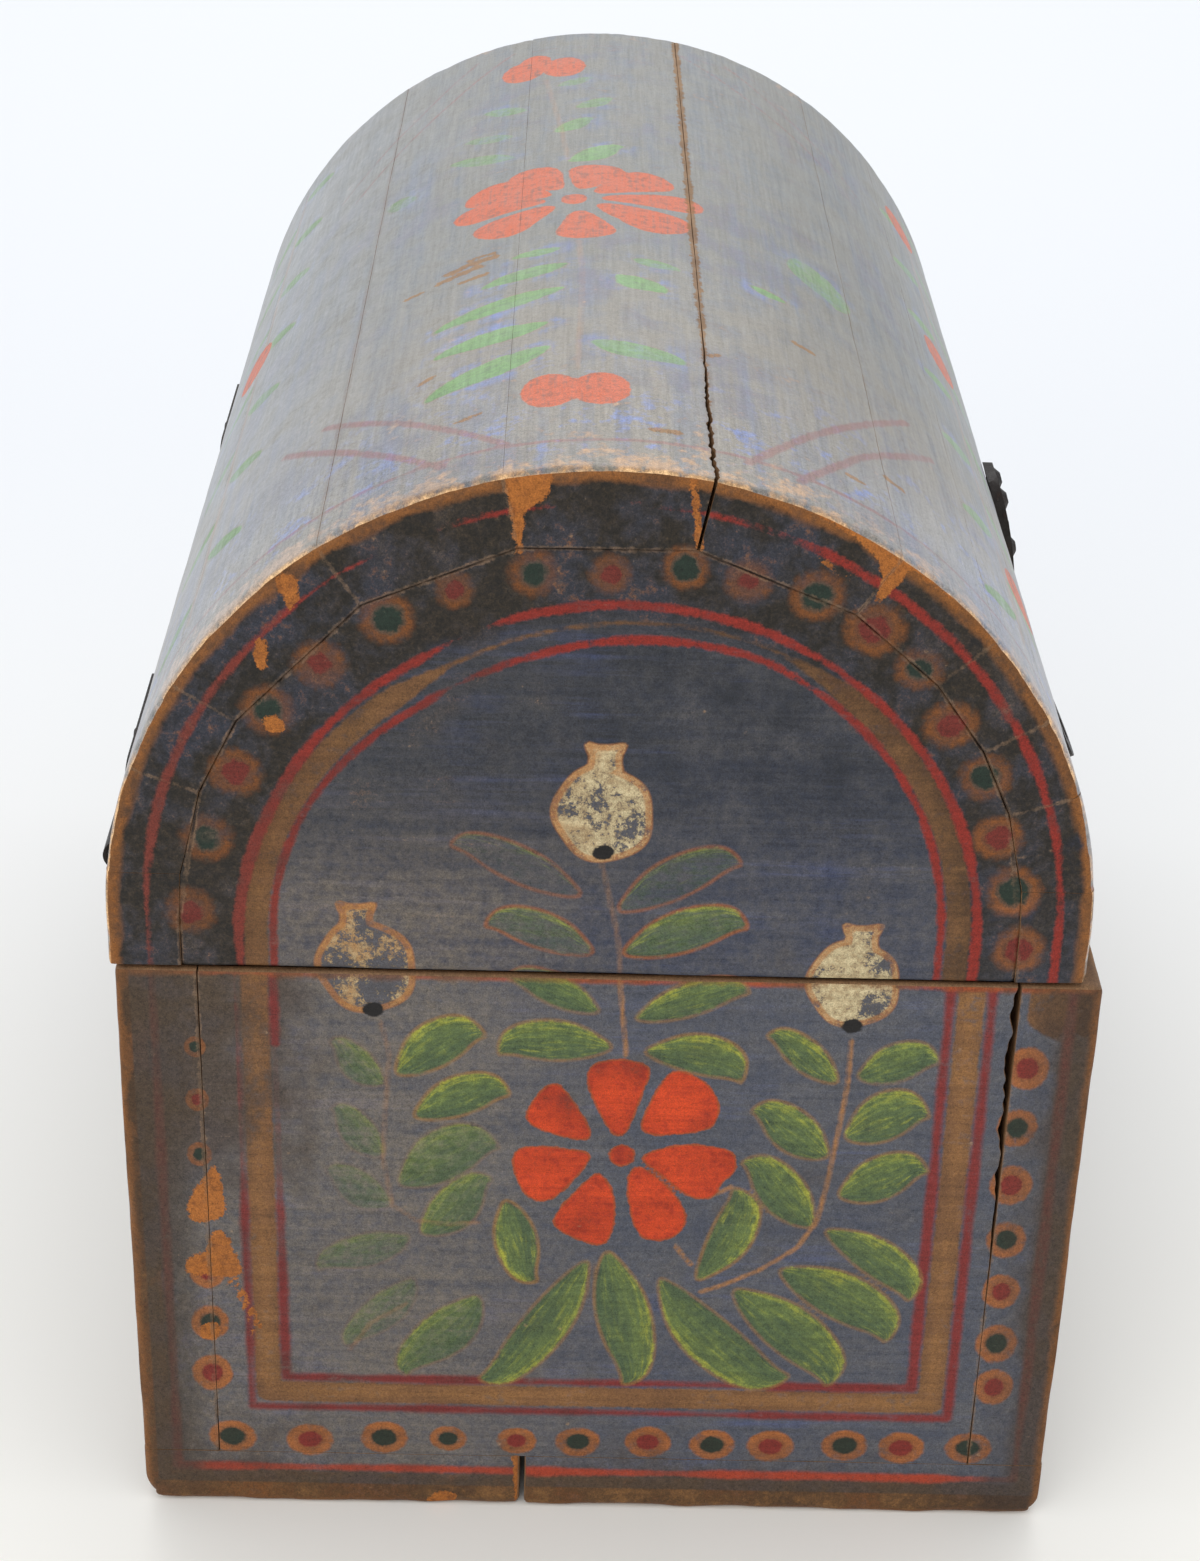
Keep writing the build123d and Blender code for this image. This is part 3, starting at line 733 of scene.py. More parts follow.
class DomeSide(PaintedSide):
    """The outside of the lid as (x, girth): the many-petalled flower, sprays and the lobed ends."""

    stem_half = 0.45

    def __init__(self) -> None:
        """Lay out the petals, leaves and stems."""
        eye = (3.7, -5.4)
        rays = ((-38, 4.8, 20.3, 5.2), (2, 4.3, 19.5, 3.8), (41, 4.6, 18.2, 4.9), (76, 5.4, 17.2, 4.6),
                (114, 6.0, 18.6, 4.3), (146, 4.6, 19.0, 5.4), (179, 4.4, 18.4, 3.9), (221, 4.3, 18.0, 4.9),
                (277, 6.0, 18.4, 4.6))
        petals = [petal((eye[1], eye[0]), *ray)[:, ::-1] for ray in rays]  # drawn as (girth, x)
        blobs = (
            ((-74.9, -8.1), 5.6, 3.6), ((-74.9, -1.5), 5.4, 3.7), ((79.1, -14.8), 6.0, 3.6), ((79.1, -7.6), 6.0, 3.6),
            ((84.6, -12.7), 4.0, 2.6), (eye, 2.4, 1.8), ((14, 63), 6.0, 4.6), ((-62, 70), 6.0, 4.6),
            ((10, -66), 6.0, 4.6), ((78, 62), 6.0, 4.6),
        )
        self.petals = tuple(petals) + tuple(oval(*blob) for blob in blobs)
        lower = ((828, 683, 657, 728, 2.7), (830, 632, 715, 665, 2.4), (808, 752, 662, 782, 3.0),
                 (812, 797, 660, 857, 3.3), (818, 597, 752, 612, 1.6), (885, 660, 944, 694, 2.8),
                 (850, 792, 965, 830, 3.0), (905, 622, 968, 642, 1.8), (1058, 630, 1112, 642, 1.5))
        upper = ((762, 232, 686, 212, 2.4), (800, 308, 862, 272, 2.4), (822, 392, 905, 352, 3.2),
                 (752, 362, 640, 330, 2.6), (830, 242, 892, 214, 2.2), (745, 300, 660, 282, 2.2),
                 (800, 170, 862, 150, 2.0), (1140, 515, 1192, 592, 5.0), (600, 380, 540, 365, 3.0))
        tones = (0.85, 0.75, 0.8, 0.8, 0.5, 0.7, 0.45, 0.35, 0.9, 0.3, 0.4, 0.6, 0.3, 0.3, 0.25, 0.25, 0.3, 0.2)
        leaves = [self._stroke(*numbers, tone) for numbers, tone in zip(lower + upper, tones)]
        for sprig in (-64.0, 64.0):
            for number, x in enumerate(range(-78, 96, 13)):
                out = 1 if number % 2 else -1
                leaves.append(Leaf((x, sprig), (x - 8.0, sprig + out * 9.0), (0.6, 0.5 * out), 2.4, 1.6, 0.38))
        self.leaves = tuple(leaves)
        self.stems = (
            ((-68, -4.6), (-50, -4.2), (-30, -4.0), (-16, -4.6)),
            ((24, -6.4), (45, -8.0), (72, -10.6)),
            ((-86, 64), (94, 64)),
            ((-86, -64), (94, -64)),
        )

    @staticmethod
    def _place(column: float, row: float) -> Pair:
        """A place of the unrolled lid, 0.1117 mm to a column and 0.2 mm to a row, as (x, girth)."""
        return (1013 - row) * 0.2 - 101.5, (column - 880) * 0.1117

    def _stroke(self, c0: float, r0: float, c1: float, r1: float, half: float, tone: float) -> Leaf:
        """A brushed leaf between two places of the unrolled lid."""
        return Leaf(self._place(c0, r0), self._place(c1, r1), (1.0, 0.0), half, half * 0.8, tone)

    def _lines(self, points: Array, found: Measures) -> None:
        """Lobed red lines near both ends, an end line and a band above the lid's foot.

        Args:
            points: Places in the plane of the side, in millimetres.
            found: The measures to fill.
        """
        x, girth = points.T
        near_x = -np.abs(x)
        folded = np.stack([near_x, np.where(x < 0, girth, -girth)], axis=1)
        edge = BOX.half_girth - np.abs(girth)
        lobes = (
            ((450, 800), (560, 880), (690, 975)), ((515, 805), (640, 880), (762, 962)),
            ((1030, 972), (1135, 868), (1285, 735)), ((1090, 975), (1190, 872), (1320, 770)),
        )
        red = [0.8 - path_distance(folded, [self._place(*spot) for spot in path]) for path in lobes]
        red += [0.6 - np.abs(near_x + 92.0), 0.65 - np.abs(edge - 4.6), 0.65 - np.abs(edge - 14.4)]
        fade = 0.08 + 0.35 * ramp(x, -60, 0) * (edge > 16)
        found.border[:, 0] = np.maximum.reduce(red) - fade
        band = np.maximum(2.1 - np.abs(edge - 11.4), 3.6 - edge)
        found.border[:, 1] = band - 0.25

    def _wear(self, points: Array, found: Measures) -> None:
        """Bare arrises at both ends, joints of the staves and dust; the full dust mark also gives the dome its paler
        ground, partly painted sheen.

        Args:
            points: Places in the plane of the side, in millimetres.
            found: The measures to fill.
        """
        super()._wear(points, found)
        x, girth = points.T
        end = BOX.half_length - np.abs(x)
        foot = BOX.half_girth - np.abs(girth)
        found.ground[:, 1] = 0.75 * np.clip(1 - end / 10, 0, 1) * np.clip(1.4 - x / 60, 0.4, 1)
        found.ground[:, 2] = 1.0
        found.wear[:, 0] = np.maximum(0.6 - end, 0.5 - foot)
        strength = {56.0: 0.45, 101.0: 0.6, 123.5: 0.0}
        lines = []
        for joint in BOX.joints:
            place = math.radians(joint - 90) * BOX.dome_radius
            lines.append(strength.get(joint, -0.3) - np.abs(girth - place))
        found.wear[:, 2] = np.maximum.reduce(lines)
        crack = math.radians(BOX.open_joint - 90) * BOX.dome_radius
        found.wear[:, 1] = 0.3 + 0.35 * np.clip((x + 60) / 30, -1, 1) - np.abs(girth - crack)
        rubs = ((-20, -24, -18, -17, 0.9), (-23, -25, -21, -19, 0.8), (-26, -22, -25, -18, 0.6),
                (-17, -21, -16, -17, 0.5), (-42.5, 26, -43.5, 29, 0.6), (-76.5, 37.5, -77, 40, 0.7),
                (-84, 31, -84, 33, 0.6), (-59, 13, -58, 14, 0.5), (-62, -26, -61, -24, 0.6),
                (-88, 5, -88, 8, 0.7), (-24, -30, -24, -28, 0.6), (-80, -20, -79, -17, 0.5))
        for x0, g0, x1, g1, size in rubs:
            found.raise_to("wear", 1, size - path_distance(points, [(x0, g0), (x1, g1)]))


class LongSide(PaintedSide):
    """The front or the back of the base as (x, z), with two sprays round flowers inside the border."""

    stem_half = 0.45

    def __init__(self, front: bool) -> None:
        """Lay out the sprays and dots.

        Args:
            front: Whether it is the front.
        """
        self.front = front
        middles = ((-56.0, 56.0), (45.0, 56.0)) if front else ((0.0, 52.0),)
        petals, leaves, stems = [], [], []
        for middle in middles:
            size = 0.8
            placing = Placing((middle[0] - END_FLOWER_EYE[0] * size, middle[1] - END_FLOWER_EYE[1] * size), size, 0.85)
            for outline in END_PETALS:
                petals.append(rounded(np.array([placing.put(corner) for corner in outline])))
            petals.append(oval(middle, 1.8 * size, 1.8 * size, 12))
            leaves += [leaf.moved(placing) for leaf in END_LEAVES[:27]]
            stems += [tuple(placing.put(point) for point in path) for path in END_STEMS[:3]]
        self.petals, self.leaves, self.stems = tuple(petals), tuple(leaves), tuple(stems)
        columns = [Dot((float(x), 12.4), Tint.GREEN if n % 2 else Tint.RED, 0.95)
                   for n, x in enumerate(np.linspace(-90, 90, 20))]
        sides = [Dot((end * 93.0, float(z)), Tint.RED if n % 2 else Tint.GREEN, 0.95)
                 for end in (-1, 1) for n, z in enumerate(np.linspace(22, 84, 7))]
        self.dots = tuple(columns + sides)

    def _lines(self, points: Array, found: Measures) -> None:
        """The same double border as on the ends.

        Args:
            points: Places in the plane of the side, in millimetres.
            found: The measures to fill.
        """
        x, z = points.T
        lines = ((0.65, 98.2, 6.8), (0.65, 87.6, 18.0), (0.68, 82.8, 23.4))
        red = [half - path_distance(points, self._u_path(side, -side, foot)) for half, side, foot in lines]
        found.border[:, 0] = np.maximum.reduce(red)
        ochre = 1.8 - path_distance(points, self._u_path(85.2, -85.2, 20.7))
        found.border[:, 1] = np.maximum(ochre, np.maximum(np.abs(x) - 98.9, 6.1 - z))

    def _wear(self, points: Array, found: Measures) -> None:
        """Worn corners, foot and rim, and the line where the bottom meets the wall.

        Args:
            points: Places in the plane of the side, in millimetres.
            found: The measures to fill.
        """
        super()._wear(points, found)
        x, z = points.T
        edge = np.minimum.reduce([BOX.half_length - np.abs(x), z + 0.2, BOX.base_top + 0.4 - z])
        found.wear[:, 0] = 0.7 - edge
        found.wear[:, 2] = 0.16 - np.abs(z - BOX.bottom)
        found.ground[:, 1] = 0.2 + 0.6 * np.clip(np.maximum(np.abs(x) - 78, 24 - z) / 12, 0, 1)
        found.ground[:, 2] = 0.35


class RawSide(PaintedSide):
    """Wood that was never painted: insides, joints and the underside."""

    def __init__(self, rim: bool = False) -> None:
        """Keep whether it is the rim."""
        self.rim = rim

    def _wear(self, points: Array, found: Measures) -> None:
        """No paint at all, or smears of it along the rim."""
        found.ground[:, 0] = 0.35 if self.rim else 0.0
        found.ground[:, 1] = 0.5


class Decoration:
    """All the painted sides, asked by what a side of a piece shows."""

    def __init__(self) -> None:
        """Make the sides."""
        self.sides: dict[Look, PaintedSide] = {
            Look.LEFT_END: EndSide(left=True),
            Look.RIGHT_END: EndSide(left=False),
            Look.DOME: DomeSide(),
            Look.FRONT: LongSide(front=True),
            Look.BACK: LongSide(front=False),
            Look.RAW: RawSide(),
            Look.RIM: RawSide(rim=True),
        }

    def measure(self, look: Look, points: Array) -> Measures:
        """The measures of a look at points of the box, in millimetres.

        Args:
            look: What the side shows.
            points: Places on the box.

        Returns:
            The filled groups of numbers.
        """
        x, y, z = points.T
        if look in (Look.LEFT_END, Look.RIGHT_END):
            plane = np.stack([y, z], axis=1)
        elif look is Look.DOME:
            plane = np.stack([x, BOX.girth(y, z)], axis=1)
        else:
            plane = np.stack([x, z], axis=1)
        return self.sides[look].measure(plane)

    def write(self, mesh: Mesh, sides: Array, looks: dict[Side, Look]) -> None:
        """Write the measures on a mesh, corner by corner.

        Args:
            mesh: The finished mesh, in metres.
            sides: The side of the block that each face lies on.
            looks: What each of these sides shows; the others are raw wood.
        """
        places = np.empty(len(mesh.vertices) * 3, np.float32)
        mesh.vertices.foreach_get("co", places)
        places = places.reshape(-1, 3).astype(float) / MM
        corner_vertex = np.empty(len(mesh.loops), np.int32)
        mesh.loops.foreach_get("vertex_index", corner_vertex)
        totals = np.empty(len(mesh.polygons), np.int32)
        mesh.polygons.foreach_get("loop_total", totals)
        corner_side = np.repeat(sides, totals)
        groups = {name: np.zeros((len(mesh.loops), 3), np.float32) for name in Measures.names()}
        for side in np.unique(sides):
            corners = np.flatnonzero(corner_side == side)
            used, back = np.unique(corner_vertex[corners], return_inverse=True)
            found = self.measure(looks.get(Side(int(side)), Look.RAW), places[used])
            for name, values in groups.items():
                values[corners] = getattr(found, name)[back]
        for name, values in groups.items():
            layer = mesh.attributes.new(name, "FLOAT_VECTOR", "CORNER")
            layer.data.foreach_set("vector", values.ravel())


# ---- node trees written as expressions


def operator(operation: str, swapped: bool = False) -> Callable[..., "Wire"]:
    """A method of a wire that adds one Math node, with its operands swapped if asked.

    Args:
        operation: The node's operation.
        swapped: Whether the wire comes last.

    Returns:
        The method.
    """
    def method(wire: "Wire", *other: "Wire | float") -> "Wire":
        """Add the node."""
        return wire.graph.maths(operation, *((*other, wire) if swapped else (wire, *other)))
    return method


class Wire:
    """One output socket; arithmetic on it adds Math nodes to its tree."""

    __add__ = __radd__ = operator("ADD")
    __sub__, __rsub__ = operator("SUBTRACT"), operator("SUBTRACT", swapped=True)
    __mul__ = __rmul__ = operator("MULTIPLY")
    __truediv__, __abs__ = operator("DIVIDE"), operator("ABSOLUTE")
    above, below = operator("MAXIMUM"), operator("MINIMUM")

    def __init__(self, graph: "Graph", socket: NodeSocket) -> None:
        """Keep the graph and the socket."""
        self.graph = graph
        self.socket = socket

    def ease(self, low: float, high: float) -> "Wire":
        """A smooth step from 0 at low to 1 at high."""
        settings = {"interpolation_type": "SMOOTHSTEP"}
        return self.graph.add("ShaderNodeMapRange", settings, {0: self, 1: low, 2: high})


class Graph:
    """A node tree that is written as expressions."""

    def __init__(self, tree: NodeTree) -> None:
        """Keep the tree."""
        self.tree = tree

    def add(self, kind: str, settings: dict | None = None, values: dict | None = None, output: int | str = 0) -> Wire:
        """Add any node.

        Args:
            kind: The node's type.
            settings: Its own settings, which are set first.
            values: A value or a wire for each input, by name or number.
            output: Which output to return.

        Returns:
            The chosen output.
        """
        node = self.tree.nodes.new(kind)
        for name, value in (settings or {}).items():
            setattr(node, name, value)
        for key, value in (values or {}).items():
            socket = node.inputs[key]
            if isinstance(value, Wire):
                self.tree.links.new(value.socket, socket)
            else:
                socket.default_value = value
        return Wire(self, node.outputs[output] if len(node.outputs) else None)

    @classmethod
    def of_material(cls, name: str) -> tuple[Material, "Graph"]:
        """A new material and its emptied tree.

        Args:
            name: The name.

        Returns:
            The material and its graph.
        """
        material = bpy.data.materials.new(name)
        material.use_nodes = True
        material.node_tree.nodes.clear()
        return material, cls(material.node_tree)

    def surface(self, values: dict) -> None:
        """The Principled shader and the output."""
        self.add("ShaderNodeOutputMaterial", None, {"Surface": self.add("ShaderNodeBsdfPrincipled", None, values)})

    def bump(self, strength: float, distance: float, height: Wire) -> Wire:
        """A normal with relief."""
        values = {"Strength": strength, "Distance": distance, "Height": height}
        return self.add("ShaderNodeBump", None, values, "Normal")

    def millimetres(self) -> Wire:
        """The place on the object in millimetres."""
        return self.stretch(self.add("ShaderNodeTexCoord", output="Object"), (1 / MM,) * 3)

    def maths(self, operation: str, *values: Wire | float) -> Wire:
        """A Math node."""
        return self.add("ShaderNodeMath", {"operation": operation}, dict(enumerate(values)))

    def pick(self, name: str) -> tuple[Wire, Wire, Wire]:
        """The three numbers of one of the piece's attributes."""
        return self.split(self.add("ShaderNodeAttribute", {"attribute_name": name}, output="Vector"))

    def split(self, vector: Wire) -> tuple[Wire, Wire, Wire]:
        """The three numbers of a vector.

        Args:
            vector: The vector.

        Returns:
            The numbers.
        """
        parts = self.tree.nodes.new("ShaderNodeSeparateXYZ")
        self.tree.links.new(vector.socket, parts.inputs[0])
        return tuple(Wire(self, socket) for socket in parts.outputs)

    def vector(self, x: Wire | float, y: Wire | float, z: Wire | float) -> Wire:
        """A vector from three numbers."""
        return self.add("ShaderNodeCombineXYZ", None, {0: x, 1: y, 2: z})

    def stretch(self, place: Wire, scale: Triple) -> Wire:
        """A place scaled along each axis."""
        return self.add("ShaderNodeMapping", None, {"Vector": place, "Scale": scale})

    def noise(self, place: Wire, scale: float, detail: float = 3.0, rough: float = 0.55, bend: float = 0.0) -> Wire:
        """Noise about zero, mostly between -1 and 1."""
        values = {"Vector": place, "Scale": scale, "Detail": detail, "Roughness": rough, "Distortion": bend}
        return (self.add("ShaderNodeTexNoise", None, values) - 0.5) * NOISE_GAIN

    def mix(self, under: Wire | tuple, over: Wire | tuple, share: Wire | float) -> Wire:
        """One colour laid over another, each a wire or a colour as it is seen.

        Args:
            under: The colour below.
            over: The colour on top.
            share: How much of it shows, 0 to 1.

        Returns:
            The mixed colour.
        """
        settings = {"data_type": "RGBA", "clamp_factor": True}
        under, over = (side if isinstance(side, Wire) else paint(side) for side in (under, over))
        return self.add("ShaderNodeMix", settings, {0: share, 6: under, 7: over}, 2)


def paint(seen: tuple[int, int, int]) -> tuple[float, float, float, float]:
    """A colour as it is seen on a screen, for a shader."""
    linear = [c / 255 / 12.92 if c <= 10 else ((c / 255 + 0.055) / 1.055) ** 2.4 for c in seen]
    return (*linear, 1.0)


# ---- finishes


@dataclass
class Signals:
    """What every layer of the painted finish reads: noises from broad to fine, and the measures."""

    g: Graph
    grain: Triple

    def __post_init__(self) -> None:
        """Make the noises and read the attributes."""
        g = self.g
        mm = self.mm = g.millimetres()
        along = g.stretch(mm, self.grain)
        self.large = g.noise(mm, 0.03, 3.0)
        self.middle = g.noise(mm, 0.16, 4.0)
        self.small = g.noise(mm, 0.7, 4.0, 0.6)
        self.fine = g.noise(mm, 2.2, 3.0, 0.7, 0.7)
        self.grit = g.noise(mm, 5.5, 2.0, 0.7, 0.5)
        self.fibre = g.noise(along, 1.6, 5.0, 0.65)
        self.streak = g.noise(along, 0.35, 4.0, 0.6)
        self.loss = self.small * 0.55 + self.middle * 0.35 + self.fibre * 0.3
        self.petal, self.bud, self.notch = g.pick("flower")
        self.leaf, self.along, self.across = g.pick("leaf")
        self.red, self.ochre, self.stem = g.pick("border")
        self.far, self.tint, self.tone = g.pick("dots")
        self.arris, self.bare, self.joint = g.pick("wear")
        # The ground's third number is dust on the ends; on the dome and at the lid's rim it is full and switches to
        # the dome's paler ground, partly painted sheen.
        self.painted, self.brown, self.dust = g.pick("ground")
        self.dome = self.dust.ease(0.6, 0.95)
        self.x, self.y, self.height = g.split(mm)
        self.lid = self.height.ease(91.6, 92.1)
        self.base = 1.0 - self.lid
        self.ends = 1.0 - self.dome
        self.near = self.x.ease(-50.0, -92.0)
        self.side = abs(self.y).ease(54.0, 58.5) * self.base
        self.tone = self.tone * (1.0 - self.lid * self.ends * 0.4)
        self.haze = self.dust * self.ends
        self.covered = (self.painted + self.middle * 0.35 * self.painted).ease(0.3, 0.7)

    def step(self, low: float, high: float, plus: float = 0.0, **weights: float) -> Wire:
        """A smooth step from low to high of the weighted sum of some signals.

        Args:
            low: Where the step begins.
            high: Where it ends.
            plus: A number that is added.
            weights: The weight of each signal, by its name.

        Returns:
            The step, 0 to 1.
        """
        parts = [getattr(self, name) * weight for name, weight in weights.items()]
        total = sum(parts[1:], parts[0])
        return (total + plus if plus else total).ease(low, high)


@dataclass(frozen=True)
class PaintedWood:
    """Old oil paint on wood, varnished, rubbed and chipped; bare wood where there is none.

    Attributes:
        name: The material's name.
        grain: How the place is scaled so that the grain runs along the board.
    """

    name: str
    grain: Triple

    def material(self) -> Material:
        """Build the node tree, layer over layer.

        Returns:
            The finished material.
        """
        material, g = Graph.of_material(self.name)
        s = Signals(g, self.grain)
        colour = self._ground(g, s)
        colour = self._border(g, s, colour)
        colour = self._leaves(g, s, colour)
        colour, raised = self._petals(g, s, colour)
        colour = g.mix(self._grime(g, s, colour), (56, 46, 38), s.side * 0.22)
        colour, bared, sunk = self._wear(g, s, colour)
        colour = g.mix(self._raw(g, s), colour, s.covered)
        calm = 1.0 - s.dome * (1.0 - s.near) * 0.55
        grit = (s.fine * 0.36 + s.grit * 0.5 + s.fibre * 0.26) * calm + s.small * (0.14 + s.dome * 0.1)
        grit = (1.0 + grit).above(0.3)
        colour = g.add("ShaderNodeVectorMath", {"operation": "SCALE"}, {0: colour, "Scale": grit})
        kept = s.covered * (1.0 - bared)
        relief = s.fibre * 0.3 + s.fine * 0.12 + s.streak * 0.25 + s.small * 0.15 + raised - sunk
        sheen = kept * (0.08 + s.dome * 0.8) * (1.0 - raised * 1.6)
        g.surface({
            "Base Color": colour,
            "Roughness": 0.52 + s.small * 0.05 + s.fine * 0.03 + (1.0 - kept) * 0.22,
            "Coat Weight": (sheen * (0.8 + s.middle * 0.2 + s.fibre * 0.25 + s.fine * 0.2)).below(1.0),
            "Normal": g.bump(0.55, 0.00022, relief),
            "Coat Roughness": 0.3,
            "Specular IOR Level": 0.22,
        })
        return material

    @staticmethod
    def _ground(g: Graph, s: Signals) -> Wire:
        """Blue-grey where it is kept, brown where varnish and hands have darkened it; on the dome a paler ground,
        partly painted sheen, with painted reflections on its flanks and painted shade towards its far end.

        Args:
            g: The graph to add to.
            s: The signals.

        Returns:
            The ground colour.
        """
        ends = g.mix((54, 60, 78), (92, 89, 88), s.step(-0.7, 0.9, streak=0.55, middle=0.3, small=0.45))
        ends = g.mix(ends, (98, 100, 106), s.base * 0.3)
        ends = g.mix(ends, (36, 38, 42), s.height.ease(97, 128) * 0.74 * (0.8 - s.middle * 0.5).above(0.0))
        ends = g.mix(ends, (58, 58, 60), s.side * s.y.ease(40.0, 56.0) * 0.75)
        blue = s.step(0.0, 1.0, streak=0.7, large=0.5, middle=-0.3, fibre=0.35)
        ends = g.mix(ends, g.mix((56, 70, 116), (70, 96, 150), s.small.ease(0.0, 1.0)), blue * 0.55)
        ends = g.mix(ends, (42, 42, 46), s.step(0.1, 1.1, fibre=0.7, small=0.5, streak=-0.4) * 0.55)
        ends = g.mix(ends, (116, 104, 96), s.step(0.3, 1.2, fine=0.5, fibre=-0.6, middle=0.3) * 0.5)
        veil = s.haze * (1.0 - s.height.ease(100, 128) * 0.6)
        ends = g.mix(ends, (126, 112, 92), veil * (0.8 + s.small * 0.5 + s.streak * 0.5).above(0.0))
        ends = g.mix(ends, (44, 50, 60), s.y.ease(-12.0, 22.0) * s.height.ease(100, 120) * 0.45)
        tan = s.step(0.75, 1.7, streak=0.9, fine=0.5, middle=0.5, haze=1.0) * s.lid
        ends = g.mix(ends, (138, 96, 58), tan * 0.75)
        brown = g.mix((30, 26, 20), (72, 57, 38), s.step(-0.5, 1.2, small=0.5, fine=0.5, middle=0.4))
        cool = s.step(-0.3, 0.5, middle=0.8, large=-0.4, small=0.3) * (0.3 + s.lid * 0.3)
        brown = g.mix(g.mix(brown, (120, 96, 72), s.base * 0.28), (50, 58, 76), cool)
        mottle = s.step(0.3, 1.3, middle=0.8, small=0.7, fine=0.4, large=-0.3) * s.lid
        brown = g.mix(brown, (126, 80, 42), mottle * 0.8)
        ends = g.mix(ends, brown, s.step(0.3, 0.95, brown=1.25, middle=0.3, large=0.25) * 0.94)
        # The dome's ground is paler than the ends': partly dust, partly painted sheen for the light it catches from
        # above.
        dome = g.mix((128, 120, 106), (100, 110, 126), s.step(-0.3, 0.7, streak=0.6, middle=0.6, large=0.4))
        dome = g.mix(dome, (78, 68, 56), s.step(0.0, 1.0, streak=0.5, small=0.4, large=-0.5, middle=0.5) * 0.8)
        # Painted shade: the dome turns darker and cooler towards its far end.
        dome = g.mix(dome, (46, 74, 84), s.x.ease(-70, 0) * (0.36 + s.middle * 0.15))
        near_leaf = s.step(0.0, 2.4, leaf=1.0, middle=1.2, plus=2.8) * (s.tone * 1.3).below(1.0)
        patches = s.step(-0.2, 0.8, middle=0.7, streak=0.5, small=0.4)
        blue = patches * (near_leaf * 0.9 + s.step(-0.1, 0.8, large=1.0, middle=0.3) * 0.7).below(1.0)
        dome = g.mix(dome, (84, 114, 188), blue * 0.95)
        sky = s.near * s.step(0.05, 0.75, small=0.6, middle=-0.9, streak=0.3) * (0.8 - s.brown).above(0.0)
        dome = g.mix(dome, (88, 116, 186), sky)
        tan = s.step(0.55, 1.25, small=0.6, middle=0.9, large=-0.2, brown=1.2, near=0.2)
        dome = g.mix(dome, (92, 72, 52), s.step(0.1, 1.1, middle=0.8, large=0.6, small=0.5, leaf=-0.1) * 0.6)
        dome = g.mix(dome, (184, 140, 92), tan * (0.5 + s.near * 0.35))
        # Painted reflections: pale grey along the back flank and bluish white on the front flank at the near end,
        # where the bright surround shows in the varnish.
        dome = g.mix(dome, (176, 180, 184), s.y.ease(12.0, 52.0) * (0.35 + s.small * 0.15 + s.middle * 0.15))
        dome = g.mix(dome, (186, 190, 200), s.near * s.y.ease(-14.0, -46.0) * (0.3 + s.middle * 0.2))
        return g.mix(ends, dome, s.dome)

    @staticmethod
    def _border(g: Graph, s: Signals, colour: Wire) -> Wire:
        """Ochre bands, red lines and dots.

        Args:
            g: The graph to add to.
            s: The signals.
            colour: The paint so far.

        Returns:
            The paint with the border.
        """
        kept = 0.95 - s.loss.ease(0.05, 0.9) * 0.8
        faded = 1.0 - s.brown * 0.5
        ochre = g.mix((108, 74, 46), (146, 102, 56), s.step(-0.4, 1.1, ochre=0.25, middle=0.5, streak=0.5))
        ochre = g.mix(ochre, (62, 44, 28), s.step(0.25, 1.15, brown=1.15, small=0.4, middle=0.6) * 0.9)
        rust = s.step(-0.2, 0.8, large=0.7, middle=0.6, small=0.4) * s.brown
        ochre = g.mix(g.mix(ochre, (136, 82, 34), rust * 0.9), (60, 42, 30), (s.side * s.y.ease(-40.0, -56.0) * 0.7))
        ochre = g.mix(ochre, (74, 52, 32), s.lid * s.ends * (0.35 + s.middle * 0.3))
        worn = s.step(0.0, 1.0, brown=2.2, middle=0.5, small=0.35, plus=-0.8)
        worn = worn * (1.0 - s.ochre.ease(1.9, 2.3)) * s.base
        colour = g.mix(colour, ochre, s.step(-0.25, 0.3, ochre=1.0, small=0.3) * kept * (1.0 - worn * 0.85))
        red = g.mix((120, 42, 39), (132, 38, 28), s.step(0.1, 0.9, lid=1.0, middle=0.3))
        outer = (s.height.ease(90.4, 90.9) + 1.0 - s.height.ease(7.0, 9.5)).below(1.0)
        red = g.mix(red, (164, 62, 36), outer * s.base * 0.9)
        red = g.mix(red, (80, 36, 34), s.step(-0.1, 1.0, middle=0.5, fine=0.4, haze=1.0) * 0.75)
        dull = (s.side * (0.9 + s.small * 0.3) + s.lid * s.y.ease(36.0, 52.0) * s.ends * 0.5).below(1.0)
        red = g.mix(red, (84, 56, 46), dull)
        red_kept = (0.98 - s.loss.ease(0.05, 0.85) * 0.8) * (1.0 - s.dome * 0.45)
        soft = s.step(-0.4, 0.5, red=1.0, small=0.2)
        crisp = s.step(-0.2, 0.36, red=1.0, small=0.28, fine=0.15)
        colour = g.mix(colour, red, (soft + (crisp - soft) * s.lid) * red_kept)
        edge = s.far + (s.small * 0.25 + s.middle * 0.3) * (0.8 + s.lid * 1.3) + s.fine * 0.1
        ring = g.mix((160, 92, 34), (112, 66, 34), s.step(-0.2, 0.9, middle=0.6, small=0.6, brown=0.6))
        colour = g.mix(colour, ring, (3.1 - edge).ease(-0.3 - s.lid * 0.6, 0.3 + s.lid * 0.5) * kept * faded)
        inner = g.mix((92, 58, 42), (66, 66, 58), s.tint)
        colour = g.mix(colour, inner, (2.1 - edge).ease(-0.2, 0.3) * (0.25 + s.lid * 0.35))
        eye = g.mix(g.mix((120, 36, 32), (98, 36, 30), s.brown), (24, 42, 34), s.tint)
        reach = 1.62 + s.tint * 0.12
        eye_kept = 0.95 - s.step(0.5, 1.3, loss=1.0, brown=0.5) * (0.8 - s.tint * 0.45)
        return g.mix(colour, eye, (reach - edge).ease(-0.2, 0.3) * eye_kept)

